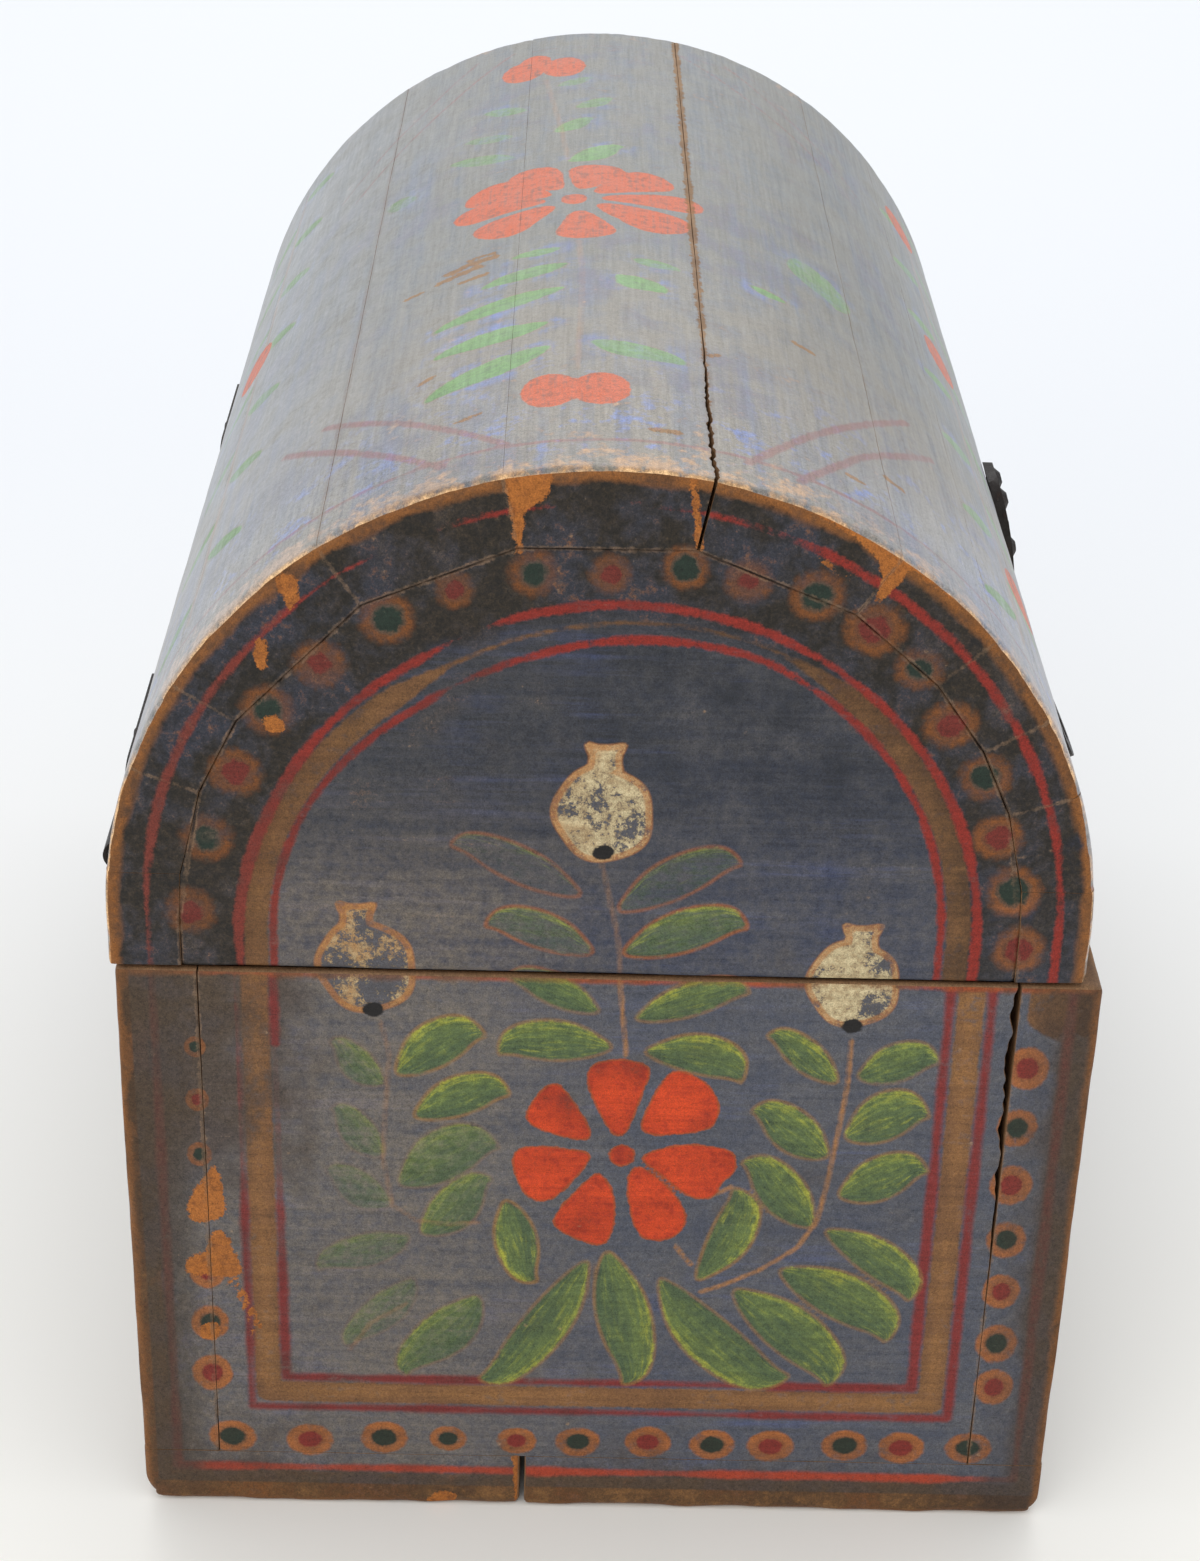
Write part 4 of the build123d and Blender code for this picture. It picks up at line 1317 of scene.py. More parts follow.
    @staticmethod
    def _leaves(g: Graph, s: Signals, colour: Wire) -> Wire:
        """Green strokes along each leaf, lighter on its full side, inside a thin broken ochre line.

        Args:
            g: The graph to add to.
            s: The signals.
            colour: The paint so far.

        Returns:
            The paint with the leaves and stems.
        """
        stroke = g.noise(g.vector(s.along * 2.5, s.across * 3.2, s.tone * 40.0), 1.7, 3.0, 0.6)
        green = g.mix((72, 88, 62), (108, 122, 62), (s.across * 0.4 + stroke * 0.5 + s.small * 0.3).ease(-0.5, 0.8))
        rim = s.step(0.0, 2.4, leaf=-1.0, small=0.6, plus=2.3) * (0.35 + s.across * 0.5 + s.along * 0.35)
        bright = (rim * 0.75 + stroke * 0.65 + s.middle * 0.3 + s.small * 0.2).ease(0.15, 1.2)
        green = g.mix(green, (152, 152, 58), bright * (s.tone + 0.1) * s.ends)
        thin = (s.fibre * 0.4 - stroke * 0.8 + s.small * 0.3).ease(0.5, 1.2)
        green = g.mix(green, (118, 92, 56), thin * 0.5 * s.ends)
        green = g.mix(green, (92, 150, 60), s.dome * (0.65 + stroke * 0.4 + s.fibre * 0.3))
        worn = s.lid * s.ends * (1.0 - bright) * 0.4
        kept = (s.tone * 1.6 + 0.12 - s.loss * 0.55 - worn).ease(0.1, 0.95)
        colour = g.mix(colour, green, s.step(-0.1, 0.4, leaf=1.0, small=0.32, fine=0.1) * kept)
        line = (0.3 - abs(s.leaf)).ease(-0.2, 0.3) * (s.tone + s.lid * 0.3 - 0.06)
        line = line * (0.95 - (s.loss + stroke * 0.5).ease(-0.2, 0.8) * 0.9)
        colour = g.mix(colour, g.mix((134, 100, 58), (146, 84, 40), s.lid), line.above(0.0) * (1.0 - s.dome * 0.8))
        stem = s.step(-0.25, 0.35, stem=1.0, small=0.18) * (0.98 - s.loss.ease(-0.1, 0.9) * 0.7)
        stem = stem * (1.0 - s.haze * 1.6) * (1.0 - s.lid * 0.6)
        return g.mix(colour, (152, 106, 64), stem.above(0.0))

    @staticmethod
    def _petals(g: Graph, s: Signals, colour: Wire) -> tuple[Wire, Wire]:
        """Orange-red petals and cream fruits that flake to the dark ground; also how far they stand up.

        Args:
            g: The graph to add to.
            s: The signals.
            colour: The paint so far.

        Returns:
            The paint with the flowers, and how far they stand up.
        """
        mask = s.step(-0.12, 0.18, petal=1.0, small=0.25, plus=0.2)
        mask = mask * (1.0 - s.loss.ease(0.65, 1.4) * (0.5 + s.dome * 0.4))
        red = g.mix((200, 68, 30), (134, 40, 26), s.step(-0.6, 0.8, middle=0.5, small=0.9, petal=-0.05, fine=0.3))
        red = g.mix(red, (220, 104, 62), s.step(0.3, 1.1, streak=0.5, small=0.6) * 0.5)
        red = g.mix(red, (92, 34, 26), s.step(0.0, 1.0, middle=0.5, small=-0.9, fine=0.6) * 0.65)
        red = g.mix(red, (142, 76, 40), (0.22 - abs(s.petal + 0.12)).ease(-0.15, 0.15) * 0.7)
        red = g.mix(red, g.mix((212, 90, 18), (116, 62, 34), s.step(-0.3, 0.8, fibre=0.6, small=0.8)), s.dome * 0.85)
        colour = g.mix(colour, red, mask)
        flake = s.middle * 1.1 + s.small * 0.6 + s.fine * 0.6 + s.fibre * 0.2 + s.haze * 0.9
        cream_mask = s.step(-0.1, 0.15, bud=1.0, small=0.25) * (1.0 - flake.ease(-0.02, 0.42) * 0.9)
        colour = g.mix(colour, g.mix((104, 88, 70), (60, 66, 80), flake.ease(0.0, 0.45)), s.bud.ease(-0.1, 0.2) * 0.85)
        cream = g.mix((212, 196, 156), (150, 130, 98), s.step(-0.9, 0.6, fine=1.0, small=1.0, middle=0.4, haze=1.2))
        stain = (s.haze * 1.7 + s.large * 0.5 - flake * 0.5 + s.small * 0.4).ease(0.2, 1.2)
        cream = g.mix(cream, (176, 120, 62), stain * 0.8)
        colour = g.mix(colour, cream, cream_mask)
        rim = (0.55 - abs(s.bud - 0.35)).ease(-0.1, 0.25) * (0.85 - s.loss.ease(0.0, 0.8))
        colour = g.mix(colour, (164, 104, 48), rim * 0.7)
        colour = g.mix(colour, (26, 24, 24), s.step(-0.1, 0.2, notch=1.0, small=0.25))
        return colour, mask * 0.25 + cream_mask * 0.35

    @staticmethod
    def _grime(g: Graph, s: Signals, colour: Wire) -> Wire:
        """Dirt in broad clouds, then pale scuffs and specks of dust.

        Args:
            g: The graph to add to.
            s: The signals.
            colour: The paint so far.

        Returns:
            The dirty paint.
        """
        dirt = s.step(0.05, 1.2, middle=0.6, large=0.5, fibre=0.35) * (0.5 + s.brown * 0.2)
        colour = g.mix(colour, (36, 31, 28), dirt)
        rub = s.step(0.35, 1.1, large=0.7, middle=0.8, small=-0.2) * (0.15 + s.brown * 0.85)
        rub = rub * s.ends * (0.55 + s.fine * 0.5 + s.small * 0.3)
        colour = g.mix(colour, (116, 98, 80), rub.above(0.0) * 0.8)
        speck = g.add("ShaderNodeTexVoronoi", {"feature": "F1"}, {"Vector": s.mm, "Scale": 0.4, "Randomness": 1.0})
        some = s.step(0.3, 0.9, middle=0.7, small=0.6)
        colour = g.mix(colour, (176, 140, 104), (0.16 - speck + s.fine * 0.03).ease(-0.01, 0.06) * some * 0.75)
        scuff = s.step(0.5, 1.4, fibre=0.8, fine=0.6, middle=0.3) * (0.45 + s.brown * 0.5 + s.haze)
        return g.mix(colour, (150, 128, 104), scuff * 0.6)

    @staticmethod
    def _wear(g: Graph, s: Signals, colour: Wire) -> tuple[Wire, Wire, Wire]:
        """Bare wood on arrises and chips, its edge turned cream on the dome's side as a painted highlight and dark
        brown on the ends' side, partly as painted shadow; dusty joints; also how much is bare and how deep it lies.

        Args:
            g: The graph to add to.
            s: The signals.
            colour: The paint so far.

        Returns:
            The worn colour, how much is bare, and how deep it lies.
        """
        wood = g.mix((196, 128, 66), (128, 84, 50), s.step(-0.6, 0.8, fibre=0.6, streak=0.5))
        arris = s.step(-0.3, 0.5, arris=1.0, small=0.3, middle=0.5, fine=0.15)
        rub = s.step(-0.2, 0.9, arris=1.0, middle=0.9, small=0.4, lid=0.3, plus=1.0) * s.ends
        rubbed = g.mix((150, 92, 38), (70, 48, 30), s.step(-0.5, 0.7, small=0.6, middle=0.5, fine=0.2))
        colour = g.mix(colour, rubbed, rub * (0.6 + s.lid * 0.25))
        # Painted highlight: the bare arris turns cream on the dome's side; on the ends' side it turns dark brown,
        # partly a painted shadow below the edge.
        edge = g.mix(wood, (232, 190, 140), s.step(0.2, 1.2, dome=0.9, fine=0.3, middle=0.4))
        edge = g.mix(edge, (84, 56, 34), s.ends * (0.65 + s.middle * 0.5))
        colour = g.mix(colour, edge, arris * 0.92)
        bare = s.step(-0.1, 0.2, bare=1.0, small=0.55, fine=0.3)
        chip = g.mix((168, 102, 46), (108, 64, 34), s.step(-0.3, 0.9, small=0.8, fibre=0.5, middle=0.3))
        chip = g.mix(chip, (176, 142, 106), s.dome * 0.85)
        colour = g.mix(colour, chip, bare * (0.95 - s.dome * 0.25))
        line = s.joint + s.small * 0.3 + s.fine * 0.15
        dusty = line.ease(-0.2, 0.1) * s.step(-0.6, 0.4, middle=0.7, small=0.5)
        colour = g.mix(colour, g.mix((128, 102, 78), (104, 82, 62), s.dome), dusty * 0.5)
        crack = s.step(-0.05, 0.1, joint=1.0, dome=-0.45, fine=0.12, plus=-0.12)
        crack = crack * s.step(-0.3, 0.4, middle=1.0, small=-0.4)
        colour = g.mix(colour, (26, 20, 18), crack * 0.9)
        return colour, (arris + bare).below(1.0), crack * 1.4 + bare * 0.5

    @staticmethod
    def _raw(g: Graph, s: Signals) -> Wire:
        """Unpainted wood inside and underneath.

        Args:
            g: The graph to add to.
            s: The signals.

        Returns:
            The colour of bare wood.
        """
        raw = g.mix((142, 108, 76), (98, 72, 50), s.step(-0.5, 0.8, streak=0.6, fibre=0.5))
        raw = g.mix(raw, (62, 46, 34), s.step(0.2, 1.2, large=0.6, middle=0.5) * 0.6)
        return g.mix(raw, (176, 142, 104), s.step(0.6, 1.3, fibre=0.7, fine=0.4) * 0.5)


@dataclass(frozen=True)
class ForgedIron:
    """Hand-hammered iron, nearly black, with rust in the hollows and rubbed edges."""

    name: str = "forged_iron"

    def material(self) -> Material:
        """Build the node tree.

        Returns:
            The finished material.
        """
        material, g = Graph.of_material(self.name)
        mm = g.millimetres()
        large, middle = g.noise(mm, 0.09, 3.0), g.noise(mm, 0.45, 4.0)
        fine = g.noise(mm, 2.6, 3.0, 0.65)
        hammer = {"Vector": mm, "Scale": 0.32, "Smoothness": 0.5}
        blows = g.add("ShaderNodeTexVoronoi", {"feature": "SMOOTH_F1"}, hammer)
        colour = g.mix((58, 54, 52), (36, 33, 32), (middle * 0.6 + fine * 0.3).ease(-0.5, 0.7))
        rust = (large * 0.5 + middle * 0.5 + fine * 0.4 + blows * 0.5).ease(0.3, 1.1)
        colour = g.mix(colour, g.mix((104, 66, 44), (70, 48, 38), fine.ease(-0.5, 0.6)), rust * 0.8)
        rubbed = (fine * 0.6 - blows * 1.2 + 0.35).ease(0.1, 0.9)
        colour = g.mix(colour, (104, 100, 96), rubbed * 0.45)
        relief = blows * 0.9 + middle * 0.22 + fine * 0.14
        g.surface({
            "Base Color": colour,
            "Roughness": 0.5 + rust * 0.3 + fine * 0.06 - rubbed * 0.12,
            "Metallic": 0.85 - rust * 0.65,
            "Normal": g.bump(0.7, 0.00035, relief),
        })
        return material


@dataclass(frozen=True)
class TableTop:
    """The pale floor, paler and warmer towards the camera and greyer further back, as painted light and shade."""

    name: str = "pale_table"

    def material(self) -> Material:
        """Build the node tree.

        Returns:
            The finished material.
        """
        material, g = Graph.of_material(self.name)
        place = g.add("ShaderNodeTexCoord", output="Object")
        cloud = g.noise(place, 6.0, 4.0)
        smear = g.noise(g.stretch(place, (9.0, 26.0, 1.0)), 1.0, 4.0)
        # Painted light and shade: the floor is paler and warmer near the camera, where the box's shadow falls, and
        # greyer far back, where the back lamp lights it most.
        near = 1.0 - g.split(place)[0].ease(-0.25, 0.35)
        colour = g.mix((228, 230, 233), (253, 250, 242), near)
        colour = g.mix(colour, (212, 204, 186), (cloud * 0.5 + smear * 0.5).ease(0.35, 1.3) * near * 0.4)
        g.surface({"Base Color": colour, "Roughness": 0.55})
        return material


# ---- trees that make meshes


class MeshTree:
    """A Geometry Nodes tree with named inputs that makes the mesh of a piece."""

    floats: tuple[tuple[str, float], ...] = ()
    counts: tuple[tuple[str, int], ...] = ()

    def __init__(self, name: str, material: Material) -> None:
        """Build the tree.

        Args:
            name: The tree's name.
            material: The material that dresses the mesh.
        """
        self.tree = bpy.data.node_groups.new(name, "GeometryNodeTree")
        make = self.tree.interface.new_socket
        make("Geometry", in_out="INPUT", socket_type="NodeSocketGeometry")
        for kind, inputs in (("NodeSocketFloat", self.floats), ("NodeSocketInt", self.counts)):
            for label, value in inputs:
                make(label, in_out="INPUT", socket_type=kind).default_value = value
        make("Geometry", in_out="OUTPUT", socket_type="NodeSocketGeometry")
        g = Graph(self.tree)
        source = self.tree.nodes.new("NodeGroupInput")
        made = self._made(g, {socket.name: Wire(g, socket) for socket in source.outputs if socket.name})
        dressed = g.add("GeometryNodeSetMaterial", None, {"Geometry": made, "Material": material})
        g.add("NodeGroupOutput", None, {0: dressed})

    def _made(self, g: Graph, given: dict[str, Wire]) -> Wire:
        """Add the nodes that make the geometry from the inputs."""
        raise NotImplementedError

    def mesh(self, name: str, values: dict[str, float], points: Mesh | None = None) -> Mesh:
        """The mesh that the tree makes.

        Args:
            name: The name of the mesh.
            values: The values of the named inputs.
            points: What the tree is given as its geometry, if anything.

        Returns:
            The evaluated mesh; the modifier and its holder are gone.
        """
        keys = {item.name: item.identifier for item in self.tree.interface.items_tree
                if item.item_type == "SOCKET" and item.in_out == "INPUT"}
        holder = bpy.data.objects.new(f"{name}_tree", points or bpy.data.meshes.new(name))
        bpy.context.scene.collection.objects.link(holder)
        modifier = holder.modifiers.new("tree", "NODES")
        modifier.node_group = self.tree
        for key, value in values.items():
            modifier[keys[key]] = value
        bpy.context.view_layer.update()
        shown = holder.evaluated_get(bpy.context.evaluated_depsgraph_get())
        mesh = bpy.data.meshes.new_from_object(shown)
        mesh.name = name
        holder.modifiers.remove(modifier)
        bpy.data.objects.remove(holder)
        return mesh


# ---- blocks of wood


@dataclass
class WornBlock:
    """A board as a closed lattice block whose edges are softened by wear.

    Attributes:
        low: Its lowest corner.
        high: Its highest corner.
        step: The spacing of the lattice along each axis.
        arrises: The wear of single edges, as a radius, by their two sides such as "-y+z".
        seed: The seed of its unevenness.
        sharp: The wear of all the other edges.
        edge: The stretch at each end of an axis where the lattice is closer.
    """

    low: Triple
    high: Triple
    step: Triple
    arrises: dict[str, float]
    seed: int
    sharp: float = 0.22
    edge: Triple = (1.2, 1.2, 1.2)
    points: Array = field(init=False)
    quads: Array = field(init=False)
    sides: Array = field(init=False)

    def __post_init__(self) -> None:
        """Lay out the lattice."""
        rows = [self._spaced(*size) for size in zip(self.low, self.high, self.step, self.edge)]
        counts = [len(row) for row in rows]
        i, j, k = np.meshgrid(*(np.arange(n) for n in counts), indexing="ij")
        skin = (i == 0) | (i == counts[0] - 1) | (j == 0) | (j == counts[1] - 1) | (k == 0) | (k == counts[2] - 1)
        number = np.full(counts, -1)
        number[skin] = np.arange(skin.sum())
        self.points = np.stack([rows[0][i[skin]], rows[1][j[skin]], rows[2][k[skin]]], axis=1)
        self.quads, self.sides = self._skin(number)

    @staticmethod
    def _spaced(low: float, high: float, step: float, edge: float) -> Array:
        """Places between two ends, closer together near the ends.

        Args:
            low: The lower end.
            high: The upper end.
            step: The usual spacing.
            edge: The stretch at each end with closer places.

        Returns:
            The places.
        """
        edge = min(edge, (high - low) / 5)
        count = max(2, round((high - low - 2 * edge) / step))
        inner = np.linspace(low + edge, high - edge, count + 1)
        share = np.array([0.0, 0.3, 0.65]) * edge
        return np.concatenate([low + share, inner, (high - share)[::-1]])

    @staticmethod
    def _skin(number: Array) -> tuple[Array, Array]:
        """The quads of the six sides, facing outwards, and the side of each.

        Args:
            number: Each lattice place's number on the skin.

        Returns:
            The quads, and the side of each.
        """
        sheets = (
            (number[0], True), (number[-1], False), (number[:, 0], False),
            (number[:, -1], True), (number[:, :, 0], True), (number[:, :, -1], False),
        )
        quads, sides = [], []
        for side, (sheet, turned) in enumerate(sheets):
            ring = [sheet[:-1, :-1], sheet[1:, :-1], sheet[1:, 1:], sheet[:-1, 1:]]
            if turned:
                ring = ring[::-1]
            quads.append(np.stack([corner.ravel() for corner in ring], axis=1))
            sides.append(np.full(len(quads[-1]), side))
        return np.vstack(quads), np.concatenate(sides)

    def soften(self) -> "WornBlock":
        """Round the edges by their wear, more at some places than at others.

        Returns:
            The block itself.
        """
        low, high = np.array(self.low), np.array(self.high)
        centre, half = (low + high) / 2, (high - low) / 2
        local = self.points - centre
        wobble = 1.0 + 0.25 * Ripple(self.seed, 23).at(self.points) + 0.15 * Ripple(self.seed + 1, 6).at(self.points)
        wobble = np.clip(wobble, 0.4, 1.7)
        for a, b in ((0, 1), (1, 2), (0, 2)):
            radius = np.full(len(local), self.sharp)
            for key, size in self.arrises.items():
                if key[1] == "xyz"[a] and key[3] == "xyz"[b]:
                    here = (np.sign(local[:, a]) == (1 if key[0] == "+" else -1)) & (
                        np.sign(local[:, b]) == (1 if key[2] == "+" else -1))
                    radius[here] = size
            radius = radius * wobble
            over = [np.maximum(np.abs(local[:, axis]) - (half[axis] - radius), 0) for axis in (a, b)]
            length = np.hypot(*over)
            shrink = np.where(length > 0, np.maximum(*over) / np.maximum(length, 1e-9), 1.0)
            for axis, excess in zip((a, b), over):
                local[:, axis] = np.sign(local[:, axis]) * (np.abs(local[:, axis]) - excess + excess * shrink)
        self.points = local + centre
        return self

    def plane_marks(self, depth: float) -> "WornBlock":
        """Press the broad faces in a little, as a hand plane leaves them.

        Args:
            depth: How deep at most.

        Returns:
            The block itself.
        """
        low, high = np.array(self.low), np.array(self.high)
        sink = depth * (0.5 + 0.5 * np.clip(Ripple(self.seed + 2, 34).at(self.points), -1, 1))
        thin = int(np.argmin(high - low))
        away = np.sign(self.points[:, thin] - (low[thin] + high[thin]) / 2)
        surface = np.isclose(np.abs(self.points[:, thin] - (low[thin] + high[thin]) / 2), (high[thin] - low[thin]) / 2,
                             atol=0.02)
        self.points[:, thin] -= away * sink * surface
        return self

    def dimple(self, places: list[Triple], radius: float, depth: float, axis: int) -> "WornBlock":
        """Sink round seats for nail heads along an axis.

        Args:
            places: Where the nails are.
            radius: The seats' radius.
            depth: How deep.
            axis: The axis along which the nails are driven.

        Returns:
            The block itself.
        """
        for place in places:
            gap = np.delete(self.points, axis, axis=1) - np.delete(np.array(place), axis)
            close = np.hypot(*gap.T)
            flat = np.abs(self.points[:, axis] - place[axis]) < 0.6
            share = np.clip((radius + 0.5 - close) / 0.8, 0, 1)
            self.points[:, axis] -= np.sign(place[axis]) * depth * share * flat
        return self

    def mesh(self, name: str) -> Mesh:
        """The block as a mesh in metres.

        Args:
            name: The name.

        Returns:
            The new mesh.
        """
        mesh = bpy.data.meshes.new(name)
        mesh.vertices.add(len(self.points))
        mesh.vertices.foreach_set("co", (self.points * MM).astype(np.float32).ravel())
        mesh.loops.add(self.quads.size)
        mesh.loops.foreach_set("vertex_index", self.quads.astype(np.int32).ravel())
        mesh.polygons.add(len(self.quads))
        mesh.polygons.foreach_set("loop_start", np.arange(0, self.quads.size, 4, dtype=np.int32))
        mesh.update(calc_edges=True)
        mesh.shade_smooth()
        mesh.set_sharp_from_angle(angle=CRISP)
        return mesh


class Workshop:
    """What every sub-assembly needs: the decoration, the finishes and how a piece is handed over."""

    def __init__(self) -> None:
        """Make the decoration and the finishes."""
        self.decoration = Decoration()
        self.long_grain = PaintedWood("painted_wood_long_grain", (0.05, 1.0, 1.0)).material()
        self.cross_grain = PaintedWood("painted_wood_cross_grain", (1.0, 0.05, 1.0)).material()
        self.iron = ForgedIron().material()

    @staticmethod
    def hand_over(mesh: Mesh, name: str, body: str, slot: str, *nodes: str) -> Object:
        """Make a piece of a mesh that stands for some nodes and rides on their body.

        Args:
            mesh: The finished mesh, in metres.
            name: The name.
            body: The body that it rides on.
            slot: The slot of its finish; not used.
            nodes: The nodes that it stands for.

        Returns:
            The piece.
        """
        piece = bpy.data.objects.new(name, mesh)
        bpy.context.scene.collection.objects.link(piece)
        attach(piece, body)
        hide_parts(*nodes)
        LOG.info("%s: %d faces, rides on %s, stands for %s", name, len(mesh.polygons), body, ", ".join(nodes))
        return piece

    def finish_block(self, block: WornBlock, node: str, body: str, slot: str, looks: dict[Side, Look],
                     material: Material) -> Object:
        """Turn a worn block into the painted piece that stands for a node.

        Args:
            block: The shaped block.
            node: The node that it stands for.
            body: The body that it rides on.
            slot: The slot of its finish.
            looks: What its sides show.
            material: The wood's finish.

        Returns:
            The piece.
        """
        mesh = block.mesh(node)
        self.decoration.write(mesh, block.sides, looks)
        mesh.materials.append(material)
        return self.hand_over(mesh, f"worn_{node}", body, slot, node)


# ---- the base


@dataclass
class Base:
    """The box itself: two bottom planks, front and back boards, and the end boards between them."""

    shop: Workshop
    fine_step: float = 0.6
    long_step: float = 0.95
    thick_step: float = 1.1

    def build(self) -> None:
        """Make the six boards."""
        self._bottom()
        self._long_boards()
        self._end_boards()

    def _bottom(self) -> None:
        """Two planks with an open seam, their lower edges rounded by years of sliding."""
        half_x, half_y, top = BOX.half_length, BOX.half_depth, BOX.bottom
        for name, low, high, seed in (
            ("bottom_plank_front", -half_y, BOX.seam_y - BOX.seam / 2, 11),
            ("bottom_plank_back", BOX.seam_y + BOX.seam / 2, half_y, 12),
        ):
            outer = "-y" if low < -60 else "+y"
            inner = "+y" if low < -60 else "-y"
            arrises = {f"{outer}-z": 4.0, "-x-z": 1.2, "+x-z": 1.2, f"-x{outer}": 1.1, f"+x{outer}": 1.1,
                       f"-x{inner}": 0.7, f"{inner}-z": 0.6, "-x+z": 0.15}
            block = WornBlock((-half_x, low, 0), (half_x, high, top), (1.3, 0.8, 0.6), arrises, seed)
            block.soften()
            looks = ENDS | ({Side.FRONT: Look.FRONT} if outer == "-y" else {Side.BACK: Look.BACK})
            self.shop.finish_block(block, name, "base", "bottom_wood", looks, self.shop.long_grain)

    def _long_boards(self) -> None:
        """Front and back boards, whose end grain shows on the ends."""
        for name, side, seed in (("front_board", -1, 21), ("back_board", 1, 22)):
            outer = "-y" if side < 0 else "+y"
            faces = BOX.board_faces(BOX.half_depth, side)
            arrises = {f"-x{outer}": 1.1, f"+x{outer}": 1.1, f"{outer}+z": 1.0, "-x+z": 0.7, "+x+z": 0.7,
                       f"{outer}-z": 0.2}
            block = WornBlock((-BOX.half_length, faces[0], BOX.bottom), (BOX.half_length, faces[1], BOX.base_top),
                              (self.long_step, 0.7, self.long_step), arrises, seed)
            block.plane_marks(0.12).soften()
            heads = [(end * BOX.corner_nail_x, side * BOX.half_depth, z) for end in (-1, 1)
                     for z in BOX.corner_nail_heights]
            block.dimple(heads, 1.75, 0.22, 1)
            looks = ENDS | {Side.TOP: Look.RIM} | ({Side.FRONT: Look.FRONT} if side < 0 else {Side.BACK: Look.BACK})
            self.shop.finish_block(block, name, "base", "painted_wood", looks, self.shop.long_grain)

    def _end_boards(self) -> None:
        """End boards; the left one has drawn away from the front board towards the top."""
        half = BOX.half_depth - BOX.board
        for name, end, seed in (("left_end_board", -1, 31), ("right_end_board", 1, 32)):
            outer = "-x" if end < 0 else "+x"
            faces = BOX.board_faces(BOX.half_length, end)
            arrises = {f"{outer}+z": 0.8, f"{outer}-y": 0.35, f"{outer}+y": 0.2, f"{outer}-z": 0.15}
            step = self.fine_step if end < 0 else 0.8
            block = WornBlock((faces[0], -half, BOX.bottom), (faces[1], half, BOX.base_top),
                              (self.thick_step, step, step), arrises, seed)
            block.plane_marks(0.12).soften()
            if end < 0:
                y, z = block.points[:, 1], block.points[:, 2]
                upright = block.points * (0, 0, 1)
                ragged = 1 + 0.35 * Ripple(33, 7).at(upright) + 0.2 * Ripple(34, 2.2).at(upright)
                draw = BOX.end_seam * ramp(z, BOX.end_seam_foot, BOX.base_top)
                block.points[:, 1] = y + draw * ragged * np.clip((12 - half - y) / 12 + 0.001, 0, 1) * (y < 0)
            shown = Side.LEFT if end < 0 else Side.RIGHT
            looks = {shown: ENDS[shown], Side.TOP: Look.RIM}
            self.shop.finish_block(block, name, "base", "painted_wood", looks, self.shop.cross_grain)


# ---- the lid


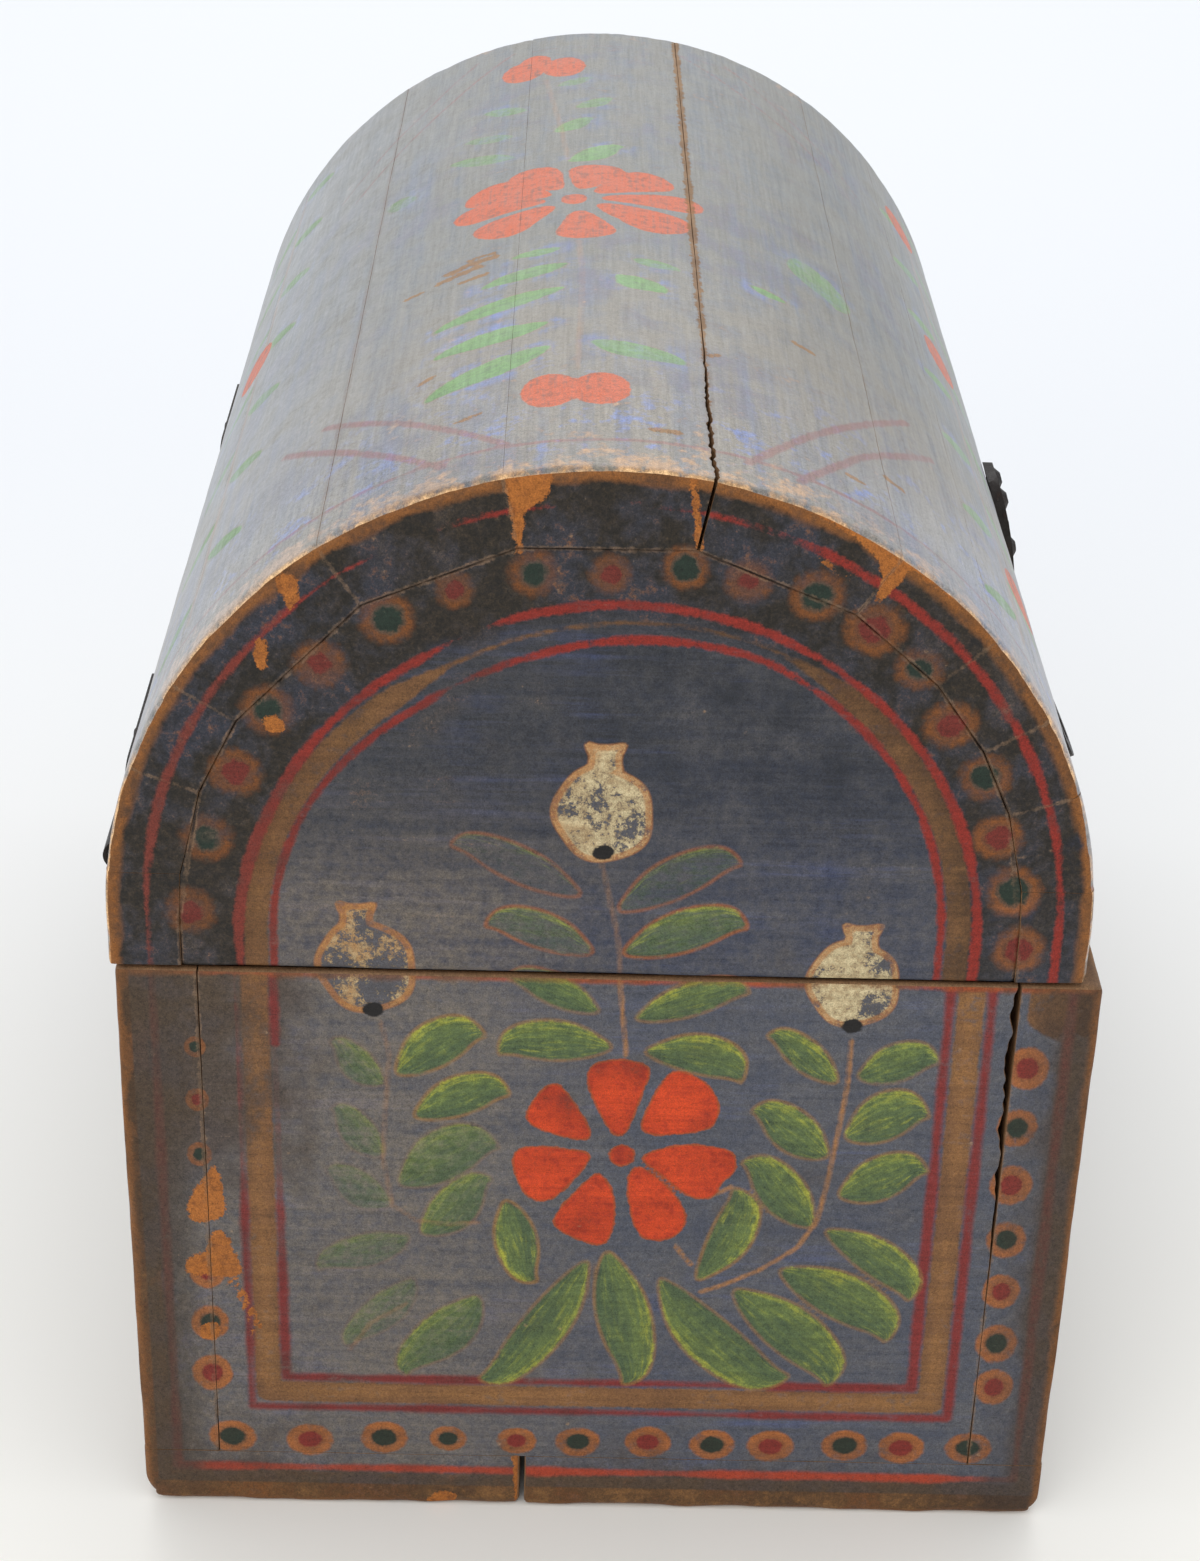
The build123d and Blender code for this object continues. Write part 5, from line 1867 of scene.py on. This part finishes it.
class StaveTree(MeshTree):
    """A tree that bends a worn block round the dome between two joints."""

    floats = (
        ("Length", 0.203), ("Start Angle", 0.0), ("End Angle", 0.3), ("Inner Radius", 0.0545),
        ("Outer Radius", 0.064), ("Centre Y", 0.0015), ("Centre Z", 0.0995), ("End Wear", 0.0012),
        ("Start Joint Wear", 0.0001), ("End Joint Wear", 0.0001), ("Start Raggedness", 0.0),
        ("End Raggedness", 0.0), ("Start Skew", 0.0), ("End Skew", 0.0), ("Unevenness", 0.0001),
    )
    counts = (("Along", 201), ("Around", 30), ("Through", 16), ("Seed", 1))

    def _made(self, g: Graph, given: dict[str, Wire]) -> Wire:
        """A cube whose lattice is spaced, softened, roughened and bent.

        Args:
            g: The graph to add to.
            given: The named inputs.

        Returns:
            The bent stave.
        """
        cube = g.add("GeometryNodeMeshCube", None, {"Size": (1.0, 1.0, 1.0), "Vertices X": given["Along"],
                                                    "Vertices Y": given["Around"], "Vertices Z": given["Through"]})
        sided = g.add("GeometryNodeStoreNamedAttribute", {"data_type": "FLOAT_VECTOR", "domain": "FACE"},
                      {"Geometry": cube, "Name": "side", "Value": g.add("GeometryNodeInputNormal")})
        place = g.add("GeometryNodeInputPosition")
        u, v, w = g.split(place)
        turn = (given["End Angle"] - given["Start Angle"]) / 2
        mid = (given["End Angle"] + given["Start Angle"]) / 2
        outer, inner = given["Outer Radius"], given["Inner Radius"]
        half = (given["Length"] / 2, turn * outer, (outer - inner) / 2)
        counts = (given["Along"], given["Around"], given["Through"])
        x, s, r = (self._closer_at_ends(g, *axis) for axis in zip((u, v, w), counts, half, (0.0014, 0.0008, 0.0014)))
        seed = given["Seed"] * 0.37
        slow = g.noise(g.vector(x, s + mid * outer, seed), 60.0, 2.0)
        quick = g.noise(g.vector(x, s + mid * outer, seed), 420.0, 2.0)
        upper = g.maths("GREATER_THAN", r, 0.0)
        end_wear = (given["End Wear"] * upper + 0.00025) * (1.0 + slow * 0.5 + quick * 0.35).above(0.3)
        later = g.maths("GREATER_THAN", s, 0.0)
        joint_size = given["Start Joint Wear"] * (1.0 - later) + given["End Joint Wear"] * later
        joint_wear = (joint_size * upper + 0.00003) * (1.0 + slow * 0.5 + quick * 0.5).above(0.3)
        x, r = self._softened(g, x, half[0], r, half[2], end_wear)
        s, r = self._softened(g, s, half[1], r, half[2], joint_wear)
        jag = g.noise(g.vector(x, 0.0, seed), 520.0, 2.0) + g.noise(g.vector(x, 0.3, seed), 180.0, 2.0) * 0.35
        start_share = (1.0 - (s + half[1]) / 0.003).above(0.0)
        end_share = (1.0 - (half[1] - s) / 0.003).above(0.0)
        open_part = 1.0 - x.ease(-0.085, -0.045)
        start_move = given["Start Raggedness"] * ((jag * 1.7 + 0.9) * open_part - 1.28)
        end_move = given["End Raggedness"] * ((jag * 1.7 - 0.9) * open_part + 1.28)
        s = s + start_share * start_move + end_share * end_move
        even = g.noise(g.vector(x, s + mid * outer, 0.0), 60.0, 2.0)
        r = r - given["Unevenness"] * (1.0 + even) * upper
        share = (r + half[2]) / (half[2] * 2.0)
        after = (s + half[1]) / (half[1] * 2.0)
        skew = given["Start Skew"] * (1.0 - after) + given["End Skew"] * after
        angle = mid + s / outer
        chord = inner * g.maths("COSINE", turn) / g.maths("COSINE", angle - mid)
        angle = angle + skew * (1.0 - share)
        radius = chord + (outer - chord) * share
        y = given["Centre Y"] + radius * g.maths("COSINE", angle)
        z = given["Centre Z"] + radius * g.maths("SINE", angle)
        bent = g.add("GeometryNodeSetPosition", None, {"Geometry": sided, "Position": g.vector(x, y, z)})
        return g.add("GeometryNodeRealizeInstances", None, {"Geometry": bent})

    @staticmethod
    def _closer_at_ends(g: Graph, place: Wire, count: Wire, half: Wire, edge: float) -> Wire:
        """A lattice place from -0.5 to 0.5, with three close rows in the last stretch at each end.

        Args:
            g: The graph to add to.
            place: The place along one axis.
            count: How many rows the axis has.
            half: Half the size along it.
            edge: The length of the last stretch.

        Returns:
            The place in metres.
        """
        spans = count - 1.0
        rows = (0.5 - abs(place)) * spans
        near = rows.below(3.0) * (edge / 3.0)
        rest = (rows - 3.0).above(0.0) / (spans / 2.0 - 3.0) * (half - edge)
        return g.maths("SIGN", place) * (half - near - rest)

    @staticmethod
    def _softened(g: Graph, a: Wire, half_a: Wire, b: Wire, half_b: Wire, radius: Wire) -> tuple[Wire, Wire]:
        """Round the edge between two directions of the block.

        Args:
            g: The graph to add to.
            a: The place along the first direction.
            half_a: Half the size along it.
            b: The place along the second.
            half_b: Half the size along that.
            radius: The radius of the wear.

        Returns:
            The moved places.
        """
        over_a = (abs(a) - (half_a - radius)).above(0.0)
        over_b = (abs(b) - (half_b - radius)).above(0.0)
        length = g.maths("SQRT", over_a * over_a + over_b * over_b).above(1e-9)
        shrink = over_a.above(over_b) / length
        keep = 1.0 - shrink
        touched = g.maths("GREATER_THAN", over_a.above(over_b), 1e-9)
        return (g.maths("SIGN", a) * (abs(a) - over_a * keep * touched),
                g.maths("SIGN", b) * (abs(b) - over_b * keep * touched))


@dataclass
class Lid:
    """The coopered lid: upright rails, ten staves bent round the dome and two arched panels."""

    shop: Workshop
    along_step: float = 0.85
    around_step: float = 0.8
    end_wear: float = 1.15
    open_joints: tuple[Pair, ...] = ((56.0, 0.08), (101.0, 0.14), (123.5, 0.05))
    closed_joint: float = 0.03
    ragged: float = 0.27

    def build(self) -> None:
        """Make the staves, rails and panels."""
        self._staves()
        self._rails()
        self._panels()

    def _staves(self) -> None:
        """Evaluate the stave tree once for each pair of joints."""
        tree = StaveTree("coopered_stave", self.shop.long_grain)
        half_open = math.degrees(BOX.open_width / 2 / BOX.dome_radius)
        bounds = [BOX.rail_outer_angle, *BOX.joints, 180 - BOX.rail_outer_angle]
        looks = ENDS | {Side.TOP: Look.DOME}
        wear = dict(self.open_joints)
        skew = math.radians(BOX.rail_inner_angle - BOX.rail_outer_angle)
        for number, (start, end) in enumerate(zip(bounds[:-1], bounds[1:]), start=1):
            name = f"lid_stave_{number:02d}"
            first = start + (half_open if start == BOX.open_joint else 0)
            last = end - (half_open if end == BOX.open_joint else 0)
            at_crack = BOX.open_joint in (start, end)
            mesh = tree.mesh(name, {
                "Start Skew": skew if number == 1 else 0.0,
                "End Skew": -skew if number == len(bounds) - 1 else 0.0,
                "Start Joint Wear": wear.get(start, self.closed_joint) * MM,
                "End Joint Wear": wear.get(end, self.closed_joint) * MM,
                "Start Angle": math.radians(first),
                "End Angle": math.radians(last),
                "Around": EDGE_ROWS + round(math.radians(last - first) * BOX.dome_radius / self.around_step),
                "Along": EDGE_ROWS + round(BOX.length / (self.along_step * (0.5 if at_crack else 1.0))),
                "End Wear": self.end_wear * MM,
                "Start Raggedness": self.ragged * MM if start == BOX.open_joint else 0.0,
                "End Raggedness": self.ragged * MM if end == BOX.open_joint else 0.0,
                "Seed": 1 if at_crack else number,
            })
            mesh.shade_smooth()
            mesh.set_sharp_from_angle(angle=CRISP)
            self.shop.decoration.write(mesh, self._block_sides(mesh), looks)
            self.shop.hand_over(mesh, f"worn_{name}", "lid", "painted_wood", name)

    @staticmethod
    def _block_sides(mesh: Mesh) -> Array:
        """Which side of the unbent block each face came from.

        Args:
            mesh: The evaluated stave.

        Returns:
            A side for each face.
        """
        layer = mesh.attributes["side"]
        normals = np.empty(len(mesh.polygons) * 3, np.float32)
        layer.data.foreach_get("vector", normals)
        normals = normals.reshape(-1, 3)
        axis = np.abs(normals).argmax(axis=1)
        positive = normals[np.arange(len(axis)), axis] > 0
        mesh.attributes.remove(layer)
        return axis * 2 + positive

    def _rails(self) -> None:
        """The upright foot of the lid at the back and the front."""
        for name, side, seed in (("lid_back_rail", 1, 41), ("lid_front_rail", -1, 42)):
            outer = "+y" if side > 0 else "-y"
            arrises = {f"-x{outer}": self.end_wear, f"+x{outer}": self.end_wear, f"{outer}-z": 0.9,
                       f"{outer}+z": self.closed_joint, "-x-z": 0.5}
            half = (BOX.dome_radius - BOX.inner_radius) / 2
            block = WornBlock((-BOX.half_length, -half, BOX.lid_bottom), (BOX.half_length, half, BOX.rail_top),
                              (self.along_step, 0.6, 0.7), arrises, seed)
            block.soften()
            x, across, z = block.points.T
            rise = np.maximum(z - BOX.dome_z, 0)
            outside = np.sqrt(BOX.dome_radius**2 - rise**2)
            inside = BOX.inner_radius - rise * (
                BOX.inner_radius * (1 - math.cos(math.radians(BOX.rail_inner_angle))) / (BOX.rail_top - BOX.dome_z))
            share = across * side / (2 * half) + 0.5
            block.points[:, 1] = BOX.dome_y + side * (inside + (outside - inside) * share)
            looks = ENDS | {Side.UNDER: Look.RIM, Side.BACK if side > 0 else Side.FRONT: Look.DOME}
            self.shop.finish_block(block, name, "lid", "painted_wood", looks, self.shop.long_grain)

    def _panels(self) -> None:
        """Arched panels whose top follows the flat insides of the staves."""
        corners = [BOX.dome_point(BOX.inner_radius, a) for a in
                   (180.0, 180 - BOX.rail_inner_angle, *reversed(BOX.joints), BOX.rail_inner_angle, 0.0)]
        arch_y, arch_z = np.array(corners).T
        for name, end, seed in (("left_arch_panel", -1, 51), ("right_arch_panel", 1, 52)):
            faces = BOX.board_faces(BOX.half_length, end)
            step = 0.6 if end < 0 else 0.85
            block = WornBlock((faces[0], -math.pi / 2, 0.0), (faces[1], math.pi / 2, 1.0),
                              (1.1, step / 54.5, step / 56), {}, seed, sharp=0.0, edge=(1.2, 0.012, 0.012))
            x, turn, share = block.points.T
            y = BOX.dome_y + BOX.inner_radius * np.sin(turn)
            top = np.interp(y, arch_y, arch_z)
            block.points[:, 1] = y
            block.points[:, 2] = BOX.lid_bottom + (top - BOX.lid_bottom) * share
            height = block.points[:, 2]
            away = np.minimum(top - height, BOX.inner_radius - np.abs(y - BOX.dome_y))
            lip = ramp(away, 0.5, 0) * 0.25 + ramp(height, BOX.lid_bottom + 0.6, BOX.lid_bottom) * 0.35
            outside = np.abs(x - end * BOX.half_length) < 0.01
            sink = 0.14 + 0.1 * np.clip(Ripple(seed, 30).at(block.points), -1, 1)
            block.points[:, 0] -= end * (lip + sink) * outside
            shown = Side.LEFT if end < 0 else Side.RIGHT
            looks = {shown: ENDS[shown], Side.UNDER: Look.RIM}
            self.shop.finish_block(block, name, "lid", "painted_wood", looks, self.shop.cross_grain)


# ---- nails and iron


class NailTree(MeshTree):
    """A tree that drives one forged nail at each given point."""

    floats = (("Head Radius", 0.0019), ("Head Tip Radius", 0.0008), ("Head Height", 0.0008),
              ("Shank Radius", 0.0007), ("Shank Length", 0.009), ("Dents", 0.00008))
    counts = (("Seed", 3),)

    def _made(self, g: Graph, given: dict[str, Wire]) -> Wire:
        """A head and a shank on each point, turned along its axis and dented.

        Args:
            g: The graph to add to.
            given: The named inputs.

        Returns:
            The nails.
        """
        head = g.add("GeometryNodeMeshCone", {"fill_type": "NGON"},
                     {"Vertices": 14, "Side Segments": 3, "Fill Segments": 2, "Radius Top": given["Head Tip Radius"],
                      "Radius Bottom": given["Head Radius"], "Depth": given["Head Height"]})
        shank = g.add("GeometryNodeMeshCone", {"fill_type": "NGON"},
                      {"Vertices": 8, "Side Segments": 2, "Radius Top": given["Shank Radius"] * 0.5,
                       "Radius Bottom": given["Shank Radius"], "Depth": given["Shank Length"]})
        driven = g.add("GeometryNodeTransform", None, {"Geometry": shank, "Rotation": (math.pi, 0.0, 0.0)})
        joined = g.tree.nodes.new("GeometryNodeJoinGeometry")
        for wire in (head, driven):
            g.tree.links.new(wire.socket, joined.inputs[0])
        axis = g.add("GeometryNodeInputNamedAttribute", {"data_type": "FLOAT_VECTOR"}, {"Name": "axis"})
        upright = g.add("FunctionNodeAlignRotationToVector", {"axis": "Z"}, {"Vector": axis})
        spin = g.add("FunctionNodeRandomValue", {"data_type": "FLOAT"}, {2: 0.0, 3: 6.28, "Seed": given["Seed"]}, 1)
        turned = g.add("FunctionNodeRotateRotation", {"rotation_space": "LOCAL"},
                       {0: upright, 1: g.vector(0.0, 0.0, spin)})
        nails = g.add("GeometryNodeInstanceOnPoints", None,
                      {"Points": given["Geometry"], "Instance": Wire(g, joined.outputs[0]), "Rotation": turned})
        real = g.add("GeometryNodeRealizeInstances", None, {"Geometry": nails})
        dent = g.add("ShaderNodeTexNoise", None, {"Vector": g.add("GeometryNodeInputPosition"), "Scale": 900.0}, 1)
        push = g.add("ShaderNodeVectorMath", {"operation": "SUBTRACT"}, {0: dent, 1: (0.5, 0.5, 0.5)})
        moved = g.add("ShaderNodeVectorMath", {"operation": "SCALE"}, {0: push, "Scale": given["Dents"]})
        return g.add("GeometryNodeSetPosition", None, {"Geometry": real, "Offset": moved})


@dataclass(frozen=True)
class NailRow:
    """Nails of one size that one node holds."""

    node: str
    body: str
    places: tuple[tuple[Triple, Triple], ...]
    head_radius: float
    tip_radius: float
    head_height: float
    length: float


@dataclass
class Ironwork:
    """Nails made by one tree, and the hinges and hasp with their forged finish."""

    shop: Workshop
    hinge_x: float = 58.0
    leaf_radius: float = 65.45
    plate_radius: float = 65.55
    hasp_x: float = 0.0
    plate_rise: float = 20.5
    iron_nodes: tuple[str, ...] = (
        "base_leaf_left", "base_leaf_right", "lid_leaf_left", "lid_leaf_right", "hinge_pin_left",
        "hinge_pin_right", "hasp_staple", "hasp_plate", "hasp_pin", "hasp_strap",
    )

    def build(self) -> None:
        """Dress the iron nodes and drive the nails."""
        for name in self.iron_nodes:
            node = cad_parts[name]
            node.data.materials.clear()
            node.data.materials.append(self.shop.iron)
            LOG.info("%s keeps its CAD form", name)
        self._nails()

    def _dome_nail(self, x: float, radius: float, angle: float) -> tuple:
        """A nail place and its outward direction on the dome.

        Args:
            x: The place along the box.
            radius: The head's distance from the dome's centre line.
            angle: The angle from the back over the top.

        Returns:
            The place and the direction.
        """
        turn = math.radians(angle)
        y, z = BOX.dome_point(radius, angle)
        return (x, y, z), (0.0, math.cos(turn), math.sin(turn))

    def _rows(self) -> list[NailRow]:
        """Every group of nails.

        Returns:
            The groups.
        """
        corner = tuple(((end * BOX.corner_nail_x, side * (BOX.half_depth - 0.12), z), (0.0, float(side), 0.0))
                       for side in (-1, 1) for end in (-1, 1) for z in BOX.corner_nail_heights)
        bottom = tuple(((-71.5 + column * 143 / 3, side * 59.5, 0.12), (0.0, 0.0, -1.0))
                       for side in (-1, 1) for column in range(4))
        base_leaf = tuple(((end * self.hinge_x + x, BOX.half_depth + 1.4, z), (0.0, 1.0, 0.0))
                          for end in (-1, 1) for x, z in ((-10, 83.5), (10, 83.5), (0, 73.5)))
        lid_leaf = tuple(self._dome_nail(end * self.hinge_x + x, self.leaf_radius, angle)
                         for end in (-1, 1) for x, angle in ((-10, 1.0), (10, 1.0), (0, 3.0)))
        plate = tuple(self._dome_nail(self.hasp_x + x, self.plate_radius, 180 - angle)
                      for x in (-4, 4) for angle in (self.plate_rise / 2, self.plate_rise * 6 / 7))
        return [
            NailRow("corner_nails", "base", corner, *CUT_HEAD, 21.0),
            NailRow("bottom_nails", "base", bottom, *CUT_HEAD, 21.0),
            NailRow("base_leaf_nails", "base", base_leaf, *FORGED_HEAD, 9.0),
            NailRow("lid_leaf_nails", "lid", lid_leaf, *FORGED_HEAD, 9.0),
            NailRow("hasp_plate_nails", "lid", plate, *FORGED_HEAD, 8.0),
        ]

    def _nails(self) -> None:
        """Evaluate the nail tree once for each node of nails."""
        tree = NailTree("forged_nails", self.shop.iron)
        for seed, row in enumerate(self._rows(), start=3):
            points = bpy.data.meshes.new(row.node)
            points.from_pydata([Vector(place) * MM for place, _ in row.places], [], [])
            axis = points.attributes.new("axis", "FLOAT_VECTOR", "POINT")
            axis.data.foreach_set("vector", np.array([out for _, out in row.places], np.float32).ravel())
            values = {"Head Radius": row.head_radius * MM, "Head Tip Radius": row.tip_radius * MM,
                      "Head Height": row.head_height * MM, "Shank Length": row.length * MM, "Seed": seed}
            mesh = tree.mesh(row.node, values, points)
            self.shop.hand_over(mesh, f"forged_{row.node}", row.body, "forged_iron", row.node)


# ---- floor, light and camera


@dataclass
class Studio:
    """The pale floor, soft light and the camera of the photograph."""

    camera_place: Triple = (-0.4230, 0.0074, 0.2977)
    yaw: float = -0.0165
    pitch: float = 0.5022
    roll: float = 0.03
    lens: float = 67.15
    floor_size: float = 12.0

    def build(self) -> None:
        """Set up everything that isn't the object."""
        self._floor()
        self._world()
        self._lamps()
        self._camera()
        bpy.context.scene.view_settings.view_transform = "Standard"

    def _floor(self) -> None:
        """A wide plain floor."""
        mesh = bpy.data.meshes.new("floor")
        half = self.floor_size / 2
        mesh.from_pydata([(-half, -half, 0), (half, -half, 0), (half, half, 0), (-half, half, 0)], [], [(0, 1, 2, 3)])
        mesh.materials.append(TableTop().material())
        floor = bpy.data.objects.new("floor", mesh)
        bpy.context.scene.collection.objects.link(floor)

    def _world(self) -> None:
        """Even pale light from all round."""
        world = bpy.data.worlds.new("studio")
        bpy.context.scene.world = world
        world.use_nodes = True
        world.node_tree.nodes.clear()
        g = Graph(world.node_tree)
        seen = g.add("ShaderNodeLightPath", output="Is Camera Ray")
        strength = 0.94 + seen * 0.02
        light = g.add("ShaderNodeBackground", None, {"Color": paint((250, 252, 255)), "Strength": strength})
        g.add("ShaderNodeOutputWorld", None, {"Surface": light})

    def _lamps(self) -> None:
        """A broad lamp behind and above, and a weaker one by the camera."""
        lamps = (
            ("back_softbox", (0.95, 0.0, 1.0), (0.0, 0.0, 0.08), 1.2, 4.6),
            ("camera_softbox", (-0.9, 0.4, 0.9), (0.0, 0.0, 0.08), 0.9, 3.0),
        )
        for name, place, target, size, power in lamps:
            data = bpy.data.lights.new(name, "AREA")
            data.shape, data.size, data.energy = "SQUARE", size, power
            lamp = bpy.data.objects.new(name, data)
            lamp.matrix_world = Matrix.Translation(place) @ (
                (Vector(target) - Vector(place)).to_track_quat("-Z", "Y").to_matrix().to_4x4())
            bpy.context.scene.collection.objects.link(lamp)

    def _camera(self) -> None:
        """The camera as it was worked out from the photograph."""
        cos, sin = math.cos, math.sin
        forward = Vector((cos(self.pitch) * cos(self.yaw), cos(self.pitch) * sin(self.yaw), -sin(self.pitch)))
        right = forward.cross(Vector((0, 0, 1))).normalized()
        up = right.cross(forward)
        across = right * cos(self.roll) + up * sin(self.roll)
        upward = -right * sin(self.roll) + up * cos(self.roll)
        data = bpy.data.cameras.new("photo_camera")
        data.sensor_width, data.lens, data.sensor_fit = 36.0, self.lens, "AUTO"
        data.clip_start, data.clip_end = 0.01, 50.0
        camera = bpy.data.objects.new("photo_camera", data)
        turn = Matrix((across, upward, -forward)).transposed().to_4x4()
        camera.matrix_world = Matrix.Translation(self.camera_place) @ turn
        bpy.context.scene.collection.objects.link(camera)
        bpy.context.scene.camera = camera


def main() -> None:
    """Build the studio, then the box from its base up."""
    logging.basicConfig(level=logging.INFO, format="%(message)s")
    Studio().build()
    shop = Workshop()
    Base(shop).build()
    Lid(shop).build()
    Ironwork(shop).build()


if __name__ == "__main__":
    main()
